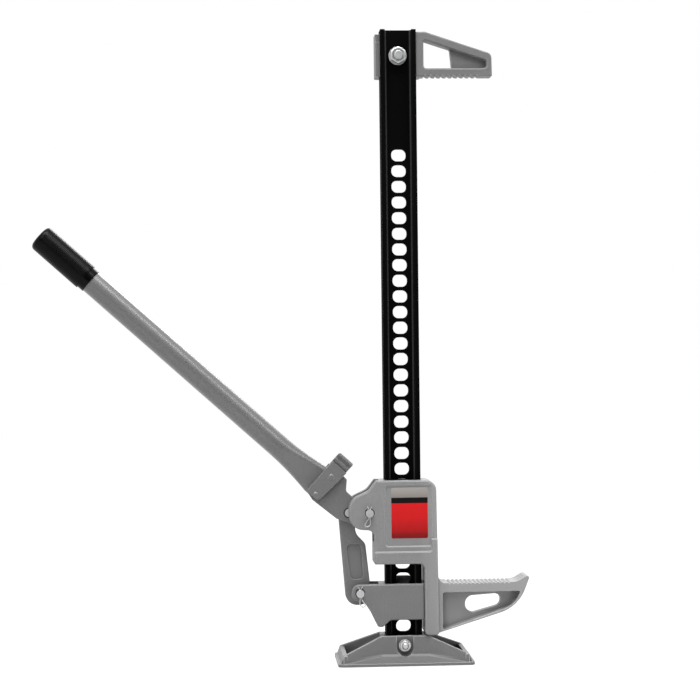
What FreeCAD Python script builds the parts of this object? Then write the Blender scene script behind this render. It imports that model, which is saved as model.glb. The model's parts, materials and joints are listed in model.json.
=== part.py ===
import FreeCAD, Part
import Sketcher
import math
import os

# High-lift jack: a punched I-section rack bar on a pressed foot, with two runners that climb it,
# a pump handle, a link between handle and lower runner, and a toothed clamp jaw at the top.
# Frame: millimetres, +Z up along the bar, +X towards the lifting nose, +Y towards the climbing pins.
# The origin is on the floor under the middle of the bar.

SIZES = {
    # rack bar
    "bar_width": 47.0,
    "bar_depth": 28.0,
    "bar_flange": 6.0,
    "bar_web": 8.0,
    "bar_fillet": 4.0,
    "bar_foot": 4.3,
    "bar_top": 832.0,
    "hole_pitch": 20.7,
    "hole_width": 19.6,
    "hole_height": 16.0,
    "hole_corner": 7.2,
    "hole_lowest": 46.1,
    "bar_plain_top": 160.0,
    "upper_hole": 7,
    "lower_hole": 2,
    # fits
    "slide_gap": 0.3,
    "pin_gap": 0.06,
    "side_gap": 0.5,
    # foot
    "base_length": 178.0,
    "base_width": 102.0,
    "base_height": 35.0,
    "base_corner": 7.0,
    "base_floor": 4.0,
    "base_wall": 5.0,
    "base_crest_width": 44.0,
    "base_crest_length": 62.0,
    "base_shoulder_z": 12.0,
    "base_shoulder_out": 5.0,
    "base_flare_width": 96.0,
    "base_end_height": 14.0,
    "base_end_length": 164.0,
    "base_end_width": 94.0,
    "base_bolt_z": 22.5,
    "base_bolt_dia": 8.0,
    "base_recess_width": 22.0,
    "base_recess_depth": 39.0,
    # clamp jaw at the top of the bar
    "clamp_inset": 3.0,
    "clamp_height": 58.8,
    "clamp_lip": 6.2,
    "clamp_lip_drop": 2.6,
    "clamp_lip_step": 13.0,
    "clamp_lip_reach": 8.0,
    "clamp_back": 9.0,
    "clamp_arm_depth": 23.0,
    "clamp_web": 9.0,
    "clamp_reach": 124.3,
    "clamp_shoulder": 36.0,
    "clamp_slope_drop": 29.0,
    "clamp_rail": 9.6,
    "clamp_roof": 11.0,
    "clamp_post": 7.5,
    "clamp_window_reach": 71.5,
    "clamp_bolt_drop": 31.0,
    "clamp_bolt_dia": 12.0,
    "clamp_boss_dia": 26.0,
    "clamp_tooth_pitch": 7.6,
    "clamp_tooth_depth": 2.2,
    "clamp_teeth": 10,
    # large runner
    "runner_depth": 46.0,
    "runner_top": 239.0,
    "runner_bottom": 129.5,
    "runner_left": 38.8,
    "runner_shoulder": 36.0,
    "runner_right": 43.2,
    "runner_corner": 14.0,
    "runner_edge": 1.6,
    "panel_depth": 1.6,
    "panel_margin": 7.0,
    "panel_bottom": 153.0,
    "strap_top": 146.0,
    "strap_proud": 2.2,
    "leg_inside": 26.6,
    "leg_outside": 45.4,
    "leg_clearance": 0.6,
    "ear_slot_floor": 31.0,
    "ear_slot_bottom": 157.0,
    "ear_radius": 19.0,
    "nose_depth": 42.0,
    "nose_top": 103.5,
    "nose_tip_x": 166.0,
    "nose_tip_z": 110.5,
    "nose_web": 11.0,
    "nose_rail": 12.0,
    "nose_rim": 3.2,
    "nose_heel": 36.6,
    "nose_tooth_pitch": 5.6,
    "nose_tooth_depth": 1.5,
    "nose_teeth": 15,
    "nose_first_tooth": 57.5,
    # pump linkage
    "pivot_x": -44.9,
    "pivot_z": 196.7,
    "crank_arm": 26.5,
    "link_pin_x": -58.1,
    "link_pin_z": 91.8,
    "link_pin_dia": 10.4,
    "pin_head_dia": 16.0,
    "pin_head": 4.0,
    "pin_tail": 6.0,
    "cotter_wire": 1.7,
    # small runner
    "small_depth": 42.0,
    "small_top": 103.0,
    "small_bottom": 56.0,
    "small_toe": 47.2,
    "small_right_wall": 2.4,
    "small_slot_floor": 32.5,
    "small_ear": 11.4,
    "small_lug_top": 110.0,
    # link
    "link_depth": 14.0,
    "link_top_radius": 14.8,
    "link_foot_radius": 17.0,
    "link_slot": 4.9,
    "link_panel_depth": 2.4,
    # handle
    "handle_angle": 42.0,
    "axis_offset": 13.2,
    "tube_dia": 30.0,
    "tube_wall": 2.5,
    "tube_end": 46.0,
    "tube_flat_start": 88.0,
    "tube_flare_start": 172.0,
    "tube_flat_width": 41.6,
    "handle_length": 562.8,
    "grip_length": 89.4,
    "grip_dia": 35.8,
    "grip_collar_dia": 32.6,
    "grip_collar": 9.0,
    "cheek": 5.0,
    "strap_start": 57.0,
    "strap_end": 81.0,
    "strap_thickness": 6.0,
    "strap_crest": 19.4,
    "hook_leaf": 2.4,
    "hook_rise": 34.6,
    "rivet_dia": 8.0,
    "rivet_spread": 31.0,
    # climbing pins and reversing latch
    "climb_dia": 12.8,
    "climb_tip": 5.5,
    "climb_length": 68.0,
    "climb_bevel": 3.0,
    "boss_dia": 30.0,
    "boss_length": 15.0,
    "cross_dia": 5.0,
    "cross_length": 19.6,
    "cross_inset": 5.0,
    "spring_wire": 2.0,
    "spring_turns": 5.0,
    "latch_pin_dia": 6.0,
    "latch_pin_z": 228.0,
    "latch_pin_out": 9.5,
    "latch_plate": 4.5,
    "latch_lug": 5.4,
    "latch_drop": 46.0,
    "latch_thumb": 10.0,
    "latch_reach": 18.0,
}

doc = FreeCAD.newDocument("HighLiftJack")
sheet = doc.addObject("Spreadsheet::Sheet", "Dimensions")


class Size:
    """A length and the sheet expression that gives it."""

    def __init__(self, value, text):
        self.value = value
        self.text = text

    @staticmethod
    def of(number):
        return number if isinstance(number, Size) else Size(float(number), f"{number:g}")

    def __add__(self, other):
        other = Size.of(other)
        return Size(self.value + other.value, f"({self.text} + {other.text})")

    def __sub__(self, other):
        other = Size.of(other)
        return Size(self.value - other.value, f"({self.text} - {other.text})")

    def __rsub__(self, other):
        return Size.of(other) - self

    def __mul__(self, other):
        other = Size.of(other)
        return Size(self.value * other.value, f"({self.text} * {other.text})")

    def __truediv__(self, other):
        other = Size.of(other)
        return Size(self.value / other.value, f"({self.text} / {other.text})")

    def __neg__(self):
        return Size(-self.value, f"(-1 * {self.text})")

    __radd__ = __add__
    __rmul__ = __mul__


class Dimensions:
    """Every driving dimension as an attribute, backed by one cell of the sheet."""

    def __init__(self, values):
        for row, (name, value) in enumerate(values.items(), start=1):
            sheet.set(f"A{row}", name)
            sheet.set(f"B{row}", str(value))
            sheet.setAlias(f"B{row}", name)
        doc.recompute()
        for name in values:
            setattr(self, name, Size(float(sheet.get(name)), f"Dimensions.{name}"))


d = Dimensions(SIZES)
ZERO = Size(0.0, "0")
SUB_PARTS = []


# Helpers for bodies, sketches and features

def bind(feature, prop, size):
    """Sets a property and ties it to the sheet."""
    size = Size.of(size)
    setattr(feature, prop, size.value)
    feature.setExpression(prop, size.text)


def whole(size):
    """The whole number at or below a size."""
    return Size(float(math.floor(size.value)), f"floor({size.text})")


def place(feature, x=ZERO, y=ZERO, z=ZERO):
    """Puts a feature at a point that follows the sheet."""
    for axis, size in zip("xyz", (x, y, z)):
        feature.setExpression(f"Placement.Base.{axis}", Size.of(size).text)


def new_body(label):
    body = doc.addObject("PartDesign::Body", label)
    body.Label = label
    SUB_PARTS.append(body)
    return body


def origin_feature(body, role):
    return next(f for f in body.Origin.OriginFeatures if f.Role == role)


def new_sketch(body, plane, offset=None):
    """A sketch on one of the body's own planes, moved along the plane's normal by offset."""
    sketch = body.newObject("Sketcher::SketchObject", "Sketch")
    sketch.AttachmentSupport = [(origin_feature(body, plane), "")]
    sketch.MapMode = "FlatFace"
    if offset is not None:
        sketch.setExpression("AttachmentOffset.Base.z", Size.of(offset).text)
    return sketch


def drive(sketch, constraint, size):
    """Adds a dimension that follows the sheet."""
    index = sketch.addConstraint(constraint)
    sketch.setExpression(f"Constraints[{index}]", Size.of(size).text)


def locate(sketch, geometry, vertex, x, y):
    """Fixes a vertex at x, y from the sketch's origin."""
    drive(sketch, Sketcher.Constraint("DistanceX", -1, 1, geometry, vertex, x.value), x)
    drive(sketch, Sketcher.Constraint("DistanceY", -1, 1, geometry, vertex, y.value), y)


def corner_tangents(before, here, after, radius):
    """Where a corner's arc leaves its two sides, and the arc's centre."""
    to_before = (before - here).normalize()
    to_after = (after - here).normalize()
    half = to_before.getAngle(to_after) / 2
    reach = radius / math.tan(half)
    centre = here + (to_before + to_after).normalize() * (radius / math.sin(half))
    return here + to_before * reach, here + to_after * reach, centre


def outline(sketch, corners):
    """A closed outline of straight sides, given anticlockwise as x, y and an optional corner radius."""
    corners = [[Size.of(n) for n in c] for c in corners]
    points = [FreeCAD.Vector(c[0].value, c[1].value, 0) for c in corners]
    count = len(corners)
    starts, ends, arcs = list(points), list(points), {}
    for i, corner in enumerate(corners):
        if len(corner) == 3:
            before, here, after = points[i - 1], points[i], points[(i + 1) % count]
            ends[i - 1], starts[i], centre = corner_tangents(before, here, after, corner[2].value)
            turn = (here - before).cross(after - here).z
            arcs[i] = (centre, ends[i - 1], starts[i], turn > 0)
        else:
            ends[i - 1] = points[i]
    for i in range(count):
        if (ends[i] - starts[i]).dot(points[(i + 1) % count] - points[i]) <= 0:
            raise ValueError(f"corner radii too large on side {i} of {sketch.Name}")
    lines = [sketch.addGeometry(Part.LineSegment(starts[i], ends[i]), False) for i in range(count)]
    for i, corner in enumerate(corners):
        before, after = lines[i - 1], lines[i]
        if i not in arcs:
            sketch.addConstraint(Sketcher.Constraint("Coincident", before, 2, after, 1))
            locate(sketch, after, 1, corner[0], corner[1])
            continue
        centre, entry, leave, left_turn = arcs[i]
        first, last = (entry, leave) if left_turn else (leave, entry)
        angles = [math.atan2(p.y - centre.y, p.x - centre.x) for p in (first, last)]
        circle = Part.Circle(centre, FreeCAD.Vector(0, 0, 1), corner[2].value)
        arc = sketch.addGeometry(Part.ArcOfCircle(circle, angles[0], angles[1]), False)
        entry_end, leave_end = (1, 2) if left_turn else (2, 1)
        sketch.addConstraint(Sketcher.Constraint("Tangent", before, 2, arc, entry_end))
        sketch.addConstraint(Sketcher.Constraint("Tangent", arc, leave_end, after, 1))
        drive(sketch, Sketcher.Constraint("Radius", arc, corner[2].value), corner[2])
        mark = sketch.addGeometry(Part.Point(points[i]), True)
        locate(sketch, mark, 1, corner[0], corner[1])
        sketch.addConstraint(Sketcher.Constraint("PointOnObject", mark, 1, before))
        sketch.addConstraint(Sketcher.Constraint("PointOnObject", mark, 1, after))
    return sketch


def disc(sketch, x, y, radius):
    """A circle fixed at x, y."""
    x, y, radius = Size.of(x), Size.of(y), Size.of(radius)
    centre = FreeCAD.Vector(x.value, y.value, 0)
    circle = sketch.addGeometry(Part.Circle(centre, FreeCAD.Vector(0, 0, 1), radius.value), False)
    locate(sketch, circle, 3, x, y)
    drive(sketch, Sketcher.Constraint("Radius", circle, radius.value), radius)
    return sketch


def rectangle(low_x, high_x, low_y, high_y):
    return [(low_x, low_y), (high_x, low_y), (high_x, high_y), (low_x, high_y)]


def pad(body, sketch, length, symmetric=False, flip=False):
    feature = body.newObject("PartDesign::Pad", "Pad")
    feature.Profile = sketch
    bind(feature, "Length", length)
    feature.SideType = "Symmetric" if symmetric else "One side"
    feature.Reversed = flip
    doc.recompute()
    return feature


def pocket(body, sketch, length, symmetric=False, flip=False):
    """Cuts a sketch out of the body, and stops if nothing was cut."""
    before = body.Shape.Volume
    feature = body.newObject("PartDesign::Pocket", "Pocket")
    feature.Profile = sketch
    bind(feature, "Length", length)
    feature.SideType = "Symmetric" if symmetric else "One side"
    feature.Reversed = flip
    doc.recompute()
    if not body.Shape.Volume < before:
        raise RuntimeError(f"a pocket of {body.Label} cuts nothing")
    return feature


def row(body, feature, axis, pitch, count):
    """Repeats a feature along one of the body's axes."""
    pattern = body.newObject("PartDesign::LinearPattern", "Row")
    pattern.Originals = [feature]
    pattern.Direction = (origin_feature(body, axis), [""])
    bind(pattern, "Length", pitch * (count - 1))
    pattern.Occurrences = int(count.value)
    pattern.setExpression("Occurrences", count.text)
    body.Tip = pattern
    doc.recompute()
    return pattern


def mirrored(body, features, plane):
    mirror = body.newObject("PartDesign::Mirrored", "Mirror")
    mirror.Originals = features
    mirror.MirrorPlane = (origin_feature(body, plane), [""])
    body.Tip = mirror
    doc.recompute()
    return mirror


def ease_edges(body, size, wanted):
    """Takes the sharpness off the edges of the body's last feature that pass the test."""
    base = body.Tip
    names = [f"Edge{i}" for i, e in enumerate(base.Shape.Edges, start=1) if wanted(e)]
    chamfer = body.newObject("PartDesign::Chamfer", "Chamfer")
    chamfer.Base = (base, names)
    bind(chamfer, "Size", size)
    doc.recompute()
    return chamfer


def on_depth(depth):
    """True for an edge that lies in the front or back plane at half this depth."""
    half = depth.value / 2

    def test(edge):
        box = edge.BoundBox
        return box.YLength < 1e-6 and abs(abs(box.YMin) - half) < 1e-6

    return test


def rod(label, dia, length, x, y, z, axis):
    """A plain round pin from x, y, z along an axis."""
    pin = doc.addObject("Part::Cylinder", label)
    pin.Label = label
    bind(pin, "Radius", dia / 2)
    bind(pin, "Height", length)
    turn = FreeCAD.Rotation(FreeCAD.Vector(0, 0, 1), axis)
    pin.Placement = FreeCAD.Placement(FreeCAD.Vector(), turn)
    place(pin, x, y, z)
    doc.recompute()
    return pin


def fuse(label, pieces):
    joined = doc.addObject("Part::MultiFuse", label)
    joined.Label = label
    joined.Shapes = pieces
    joined.Refine = True
    SUB_PARTS.append(joined)
    return joined


def fixed_shape(label, shape):
    """A sub-part whose shape is worked out from the sheet's values."""
    part = doc.addObject("Part::Feature", label)
    part.Label = label
    part.Shape = shape
    SUB_PARTS.append(part)
    return part


ALONG_X = FreeCAD.Vector(1, 0, 0)
ALONG_Y = FreeCAD.Vector(0, 1, 0)
FORWARD = FreeCAD.Vector(0, -1, 0)

# Places that several pieces share
bar_half_x = d.bar_width / 2
bar_half_y = d.bar_depth / 2
web_half = d.bar_web / 2
channel_x = bar_half_x + d.slide_gap
channel_y = bar_half_y + d.slide_gap
clamp_top = d.bar_top - d.clamp_inset
clamp_bottom = clamp_top - d.clamp_height
clamp_tip_z = clamp_top - d.clamp_slope_drop
clamp_bolt_z = clamp_top - d.clamp_bolt_drop
hole_count = whole((d.bar_top - d.bar_plain_top - d.hole_lowest) / d.hole_pitch) + 1
runner_front = d.runner_depth / 2
small_front = d.small_depth / 2
upper_pin_z = d.hole_lowest + d.hole_pitch * d.upper_hole
lower_pin_z = d.hole_lowest + d.hole_pitch * d.lower_hole
crank_x = d.pivot_x - d.crank_arm
pin_radius = d.link_pin_dia / 2
pin_bore = pin_radius + d.pin_gap
link_half = d.link_depth / 2
cheek_inside = link_half + d.side_gap
cheek_outside = cheek_inside + d.cheek
ear_inside = cheek_outside + d.side_gap
climb_bore = d.climb_dia / 2 + d.pin_gap


# Rack bar: an I-section with a row of flat-topped holes and a bolt hole near each end

def make_bar():
    body = new_body("standard_bar")
    flange_inside = bar_half_x - d.bar_flange
    section = new_sketch(body, "XY_Plane", d.bar_foot)
    outline(section, [
        (-bar_half_x, -bar_half_y),
        (-flange_inside, -bar_half_y),
        (-flange_inside, -web_half, d.bar_fillet),
        (flange_inside, -web_half, d.bar_fillet),
        (flange_inside, -bar_half_y),
        (bar_half_x, -bar_half_y),
        (bar_half_x, bar_half_y),
        (flange_inside, bar_half_y),
        (flange_inside, web_half, d.bar_fillet),
        (-flange_inside, web_half, d.bar_fillet),
        (-flange_inside, bar_half_y),
        (-bar_half_x, bar_half_y),
    ])
    pad(body, section, d.bar_top - d.bar_foot)

    bolts = new_sketch(body, "XZ_Plane")
    disc(bolts, 0, clamp_bolt_z, d.clamp_bolt_dia / 2 + d.side_gap)
    disc(bolts, 0, d.base_bolt_z, d.base_bolt_dia / 2 + d.side_gap)
    pocket(body, bolts, d.bar_depth, symmetric=True)

    hole = new_sketch(body, "XZ_Plane")
    half_width, half_height = d.hole_width / 2, d.hole_height / 2
    low, high = d.hole_lowest - half_height, d.hole_lowest + half_height
    outline(hole, [c + (d.hole_corner,) for c in rectangle(-half_width, half_width, low, high)])
    row(body, pocket(body, hole, d.bar_depth, symmetric=True), "Z_Axis", d.hole_pitch, hole_count)


# Foot: a floor with two walls that stand close at the bar and spread to the corners

def make_base():
    body = new_body("base_plate")
    half_length, half_width = d.base_length / 2, d.base_width / 2
    floor = new_sketch(body, "XY_Plane")
    plan = rectangle(-half_length, half_length, -half_width, half_width)
    outline(floor, [c + (d.base_corner,) for c in plan])
    pad(body, floor, d.base_floor)

    root = d.base_floor / 2
    crest = d.base_crest_width / 2
    shoulder = crest + d.base_shoulder_out
    mid_z = (d.base_floor + d.base_end_height) / 2
    end_out = d.base_end_width / 2

    def middle(x):
        return outline(new_sketch(body, "YZ_Plane", x), [
            (-d.base_flare_width / 2, root),
            (-channel_y, root),
            (-channel_y, d.base_height),
            (-crest, d.base_height),
            (-shoulder, d.base_shoulder_z),
            (-shoulder - d.base_wall / 2, d.base_shoulder_z - d.base_wall / 2),
        ])

    def end(x):
        return outline(new_sketch(body, "YZ_Plane", x), [
            (-end_out - d.base_wall / 2, root),
            (-end_out + d.base_wall, root),
            (-end_out + d.base_wall, d.base_end_height),
            (-end_out, d.base_end_height),
            (-end_out - d.base_wall / 4, mid_z),
            (-end_out - d.base_wall / 2 + d.side_gap, d.base_floor),
        ])

    crest_x, end_x = d.base_crest_length / 2, d.base_end_length / 2
    wall = body.newObject("PartDesign::AdditiveLoft", "Wall")
    wall.Profile = end(-end_x)
    wall.Sections = [middle(-crest_x), middle(crest_x), end(end_x)]
    wall.Ruled = True
    doc.recompute()

    rim = new_sketch(body, "XZ_Plane")
    outline(rim, [
        (-half_length + d.base_wall / 2, root),
        (-end_x + d.base_wall, root),
        (-end_x + d.base_wall, d.base_end_height),
        (-end_x, d.base_end_height),
    ])
    end_rim = pad(body, rim, (end_out - d.side_gap) * 2, symmetric=True)

    saddle = new_sketch(body, "XZ_Plane")
    outline(saddle, rectangle(-crest_x, -channel_x, root, d.base_height))
    cheek = pad(body, saddle, crest * 2 - d.side_gap, symmetric=True)
    mirrored(body, [end_rim, cheek], "YZ_Plane")
    mirrored(body, [wall], "XZ_Plane")

    seat_z = d.base_shoulder_z - d.base_wall / 2
    recess_half = d.base_recess_width / 2
    recess = new_sketch(body, "XZ_Plane", d.base_recess_depth / 2)
    outline(recess, [
        (-recess_half, seat_z, recess_half - d.side_gap),
        (recess_half, seat_z, recess_half - d.side_gap),
        (recess_half, d.base_height + d.base_wall),
        (-recess_half, d.base_height + d.base_wall),
    ])
    front = pocket(body, recess, d.base_width, flip=True)
    mirrored(body, [front], "XZ_Plane")

    bore = new_sketch(body, "XZ_Plane")
    disc(bore, 0, d.base_bolt_z, d.base_bolt_dia / 2 + d.side_gap)
    pocket(body, bore, d.base_width, symmetric=True)


# Fasteners: a bolt with a hexagon head behind, and a nut and washer in front

def hexagon(label, across, length, y, z):
    prism = doc.addObject("Part::Prism", label)
    prism.Label = label
    prism.Polygon = 6
    bind(prism, "Circumradius", across / math.sqrt(3))
    bind(prism, "Height", length)
    turn = FreeCAD.Rotation(FreeCAD.Vector(0, 0, 1), FORWARD)
    prism.Placement = FreeCAD.Placement(FreeCAD.Vector(), turn)
    place(prism, ZERO, y, z)
    doc.recompute()
    return prism


def cut(label, base, tool):
    result = doc.addObject("Part::Cut", label)
    result.Label = label
    result.Base = base
    result.Tool = tool
    SUB_PARTS.append(result)
    return result


def make_bolt(name, dia, z, head_seat, nut_seat):
    """A bolt along Y whose head bears on head_seat and whose nut bears on a washer at nut_seat."""
    head, nut, washer = dia * 0.65, dia * 0.8, dia * 0.2
    across = dia * 1.6
    tail = nut_seat + washer + nut + dia * 0.3
    hex_head = hexagon(f"{name}_head", across, head, head_seat + head, z)
    shank = rod(f"{name}_shank", dia, head_seat + tail, ZERO, head_seat, z, FORWARD)
    fuse(f"{name}_bolt", [hex_head, shank])

    bore = dia + d.pin_gap * 2
    ring = rod(f"{name}_ring", dia * 2, washer, ZERO, -nut_seat, z, FORWARD)
    ring_bore = rod(f"{name}_ring_bore", bore, washer * 3, ZERO, washer - nut_seat, z, FORWARD)
    cut(f"{name}_washer", ring, ring_bore)
    block = hexagon(f"{name}_block", across, nut, -nut_seat - washer, z)
    block_bore = rod(f"{name}_block_bore", bore, nut * 3, ZERO, nut - nut_seat - washer, z, FORWARD)
    cut(f"{name}_nut", block, block_bore)


# Clamp jaw: a saddle that grips the bar from behind and a framed arm with teeth below

def make_top_clamp():
    body = new_body("top_clamp")
    back = channel_y + d.clamp_back
    outer = channel_x + d.clamp_lip
    saddle = new_sketch(body, "XY_Plane", clamp_bottom)
    outline(saddle, [
        (-outer, -d.clamp_lip_reach),
        (-channel_x, -d.clamp_lip_reach),
        (-channel_x, channel_y),
        (channel_x, channel_y),
        (channel_x, -d.clamp_arm_depth / 2),
        (outer, -d.clamp_arm_depth / 2),
        (outer, back, d.clamp_lip),
        (-outer, back, d.clamp_lip),
    ])
    pad(body, saddle, clamp_top - clamp_bottom)

    arm = new_sketch(body, "XZ_Plane")
    outline(arm, [
        (channel_x, clamp_bottom),
        (d.clamp_reach, clamp_bottom, d.slide_gap * 5),
        (d.clamp_reach - d.slide_gap * 2, clamp_tip_z, d.clamp_post),
        (d.clamp_shoulder, clamp_top, d.clamp_post),
        (channel_x, clamp_top),
    ])
    pad(body, arm, d.clamp_arm_depth, symmetric=True)
    on_faces = on_depth(d.clamp_arm_depth)
    ease_edges(body, d.runner_edge * 0.7, lambda e: on_faces(e) and e.BoundBox.XMax > d.clamp_shoulder.value)

    # window next to the bar and a sunk web between it and the tip, inside one frame of even width
    inside_left = outer + d.clamp_post / 2
    floor = clamp_bottom + d.clamp_rail + d.clamp_tooth_depth / 2
    slope = (clamp_top - clamp_tip_z) / (d.clamp_reach - d.clamp_shoulder)
    drop = d.clamp_roof

    def roof(x):
        return clamp_top - drop - slope * (x - d.clamp_shoulder)

    sunk_right = d.clamp_reach - d.clamp_post
    sunk = [
        (inside_left, floor, d.clamp_post / 2),
        (sunk_right, floor, d.clamp_post / 2),
        (sunk_right, roof(sunk_right), d.clamp_post / 2),
        (inside_left, roof(inside_left), d.clamp_post / 3),
    ]
    depth = (d.clamp_arm_depth - d.clamp_web) / 2
    front = pocket(body, outline(new_sketch(body, "XZ_Plane", d.clamp_arm_depth / 2), sunk), depth)
    mirrored(body, [front], "XZ_Plane")
    window = new_sketch(body, "XZ_Plane")
    outline(window, [
        (inside_left, floor, d.clamp_post / 2),
        (d.clamp_window_reach, floor),
        (d.clamp_window_reach - d.clamp_post / 3, roof(d.clamp_window_reach), d.clamp_post / 2),
        (inside_left, roof(inside_left), d.clamp_post / 3),
    ])
    pocket(body, window, d.clamp_arm_depth, symmetric=True)

    def on_recess(edge):
        box = edge.BoundBox
        within_x = inside_left.value - 1e-6 < box.XMin and box.XMax < sunk_right.value + 1e-6
        return on_faces(edge) and within_x and box.ZMax < roof(inside_left).value

    ease_edges(body, d.runner_edge * 0.9, on_recess)

    first = inside_left
    notch = new_sketch(body, "XZ_Plane")
    outline(notch, [
        (first, clamp_bottom - d.slide_gap),
        (first + d.clamp_tooth_pitch * 0.75, clamp_bottom - d.slide_gap),
        (first + d.clamp_tooth_pitch * 0.2, clamp_bottom + d.clamp_tooth_depth),
    ])
    tooth = pocket(body, notch, d.clamp_arm_depth, symmetric=True)
    row(body, tooth, "X_Axis", d.clamp_tooth_pitch, d.clamp_teeth)

    # the lip beside the bar stops short of the top and steps in below it
    lip = new_sketch(body, "XZ_Plane")
    step_z = clamp_top - d.clamp_lip_step
    outline(lip, rectangle(-outer - d.slide_gap, -channel_x, clamp_top - d.clamp_lip_drop, d.bar_top))
    pocket(body, lip, back * 4, symmetric=True)
    step = new_sketch(body, "XZ_Plane", d.clamp_lip_reach)
    outline(step, rectangle(-outer - d.slide_gap, -channel_x, step_z, d.bar_top))
    pocket(body, step, d.runner_edge)

    boss = disc(new_sketch(body, "XZ_Plane", -channel_y), 0, clamp_bolt_z, d.clamp_boss_dia / 2)
    pad(body, boss, channel_y - web_half)
    bore = disc(new_sketch(body, "XZ_Plane"), 0, clamp_bolt_z, d.clamp_bolt_dia / 2 + d.side_gap)
    pocket(body, bore, back * 2, symmetric=True)


# Large runner: box on the bar, two ears for the handle, a leg, and the toothed lifting nose

def make_large_runner():
    body = new_body("large_runner")
    leg_bottom = d.base_height + d.leg_clearance
    ear_top = d.pivot_z + d.crank_arm * 0.64
    ear_bottom = d.pivot_z - d.crank_arm * 0.8
    ear_left = d.pivot_x - d.crank_arm
    shell = new_sketch(body, "XZ_Plane")
    outline(shell, [
        (-d.runner_left, d.runner_bottom, d.runner_edge),
        (d.leg_inside, d.runner_bottom, d.runner_corner / 2),
        (d.leg_inside, leg_bottom, d.runner_corner / 3),
        (d.leg_outside, leg_bottom, d.runner_corner / 3),
        (d.runner_right, d.runner_top, d.runner_corner),
        (-d.runner_shoulder, d.runner_top, d.runner_edge),
        (d.pivot_x - d.slide_gap * 4, d.runner_top - d.runner_corner * 0.93, d.runner_corner),
        (ear_left - d.slide_gap * 4, ear_top, d.ear_radius),
        (ear_left + d.slide_gap * 3, ear_bottom, d.ear_radius),
        (-d.runner_left, ear_bottom - d.runner_edge, d.runner_corner * 0.65),
    ])
    pad(body, shell, d.runner_depth, symmetric=True)
    ease_edges(body, d.runner_edge, on_depth(d.runner_depth))

    # the bottom strap and the leg stand proud of the front face
    strap = new_sketch(body, "XZ_Plane", runner_front - d.runner_edge)
    rise = d.strap_top - d.runner_bottom
    outline(strap, [
        (-d.runner_left, d.runner_bottom, d.runner_edge),
        (d.leg_inside, d.runner_bottom, d.runner_corner / 2),
        (d.leg_inside, leg_bottom, d.runner_corner / 3),
        (d.leg_outside, leg_bottom, d.runner_corner / 3),
        (d.runner_right + d.slide_gap * 3, d.strap_top + rise),
        (d.runner_right - d.panel_margin, d.strap_top + rise),
        (d.runner_right - d.panel_margin, d.strap_top, d.runner_edge * 2),
        (-d.runner_left, d.strap_top),
    ])
    pad(body, strap, d.strap_proud + d.runner_edge)
    proud = on_depth((runner_front + d.strap_proud) * 2)
    ease_edges(body, d.strap_proud * 0.7, proud)

    # lifting nose
    nose = new_sketch(body, "XZ_Plane")
    root_x = d.leg_outside - d.panel_margin
    tip_x, tip_z = d.nose_tip_x, d.nose_tip_z
    height = d.nose_top - d.nose_heel
    reach = d.nose_tip_x - d.leg_outside
    belly_x = tip_x - reach * 0.127
    belly_z = d.nose_heel + height * 0.519
    outline(nose, [
        (root_x, d.nose_heel - d.slide_gap),
        (d.leg_outside, d.nose_heel),
        (belly_x, belly_z, d.ear_radius * 2.7),
        (tip_x, tip_z, d.runner_edge * 1.3),
        (tip_x - reach * 0.042, tip_z + d.side_gap, d.runner_edge * 3),
        (tip_x - reach * 0.145, d.nose_top, d.ear_radius * 1.1),
        (d.leg_outside - d.slide_gap, d.nose_top, d.runner_corner * 0.7),
        (d.leg_outside - d.slide_gap * 2, d.nose_top + d.runner_corner),
        (root_x, d.nose_top + d.runner_corner),
    ])
    pad(body, nose, d.nose_depth, symmetric=True)

    web_left = d.leg_outside + d.nose_rim * 1.5
    web_top = d.nose_top - d.nose_rail
    sunk = [
        (web_left, d.nose_heel + d.nose_rim * 1.5, d.nose_rim * 0.8),
        (belly_x - d.nose_rim * 1.3, belly_z + d.nose_rim * 0.55, d.ear_radius * 1.7),
        (tip_x - reach * 0.104, web_top, d.nose_rim * 0.5),
        (web_left, web_top, d.nose_rim),
    ]
    side_depth = (d.nose_depth - d.nose_web) / 2
    side = pocket(body, outline(new_sketch(body, "XZ_Plane", d.nose_depth / 2), sunk), side_depth)
    mirrored(body, [side], "XZ_Plane")

    slot_left, slot_right = tip_x - reach * 0.7, tip_x - reach * 0.31
    slot_low, slot_high = d.nose_heel + height * 0.338, d.nose_heel + height * 0.712
    left_round = (slot_high - slot_low) * 0.43
    slot = new_sketch(body, "XZ_Plane")
    outline(slot, [
        (slot_left, slot_low, left_round),
        (slot_right, slot_low + d.nose_rim * 4, left_round * 0.75),
        (slot_right, slot_high + d.nose_rim, left_round * 0.75),
        (slot_left, slot_high, left_round),
    ])
    pocket(body, slot, d.nose_depth, symmetric=True)

    notch = new_sketch(body, "XZ_Plane")
    outline(notch, [
        (d.nose_first_tooth, d.nose_top + d.slide_gap),
        (d.nose_first_tooth + d.nose_tooth_pitch * 0.4, d.nose_top - d.nose_tooth_depth),
        (d.nose_first_tooth + d.nose_tooth_pitch * 0.8, d.nose_top + d.slide_gap),
    ])
    tooth = pocket(body, notch, d.nose_depth, symmetric=True)
    row(body, tooth, "X_Axis", d.nose_tooth_pitch, d.nose_teeth)

    # sunk panel on the front face
    panel = new_sketch(body, "XZ_Plane", runner_front)
    low_x, high_x = -channel_x, d.runner_right - d.panel_margin
    outline(panel, [c + (d.runner_edge * 2,) for c in rectangle(
        low_x, high_x, d.panel_bottom, d.runner_top - d.panel_margin)])
    pocket(body, panel, d.panel_depth)
    front_edge = on_depth(d.runner_depth)

    def on_panel(edge):
        box = edge.BoundBox
        within_x = low_x.value - 1e-6 < box.XMin and box.XMax < high_x.value + 1e-6
        return front_edge(edge) and box.YMax < 0 and within_x and box.ZMin > d.panel_bottom.value - 1e-6

    ease_edges(body, d.panel_depth * 0.75, on_panel)

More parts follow.
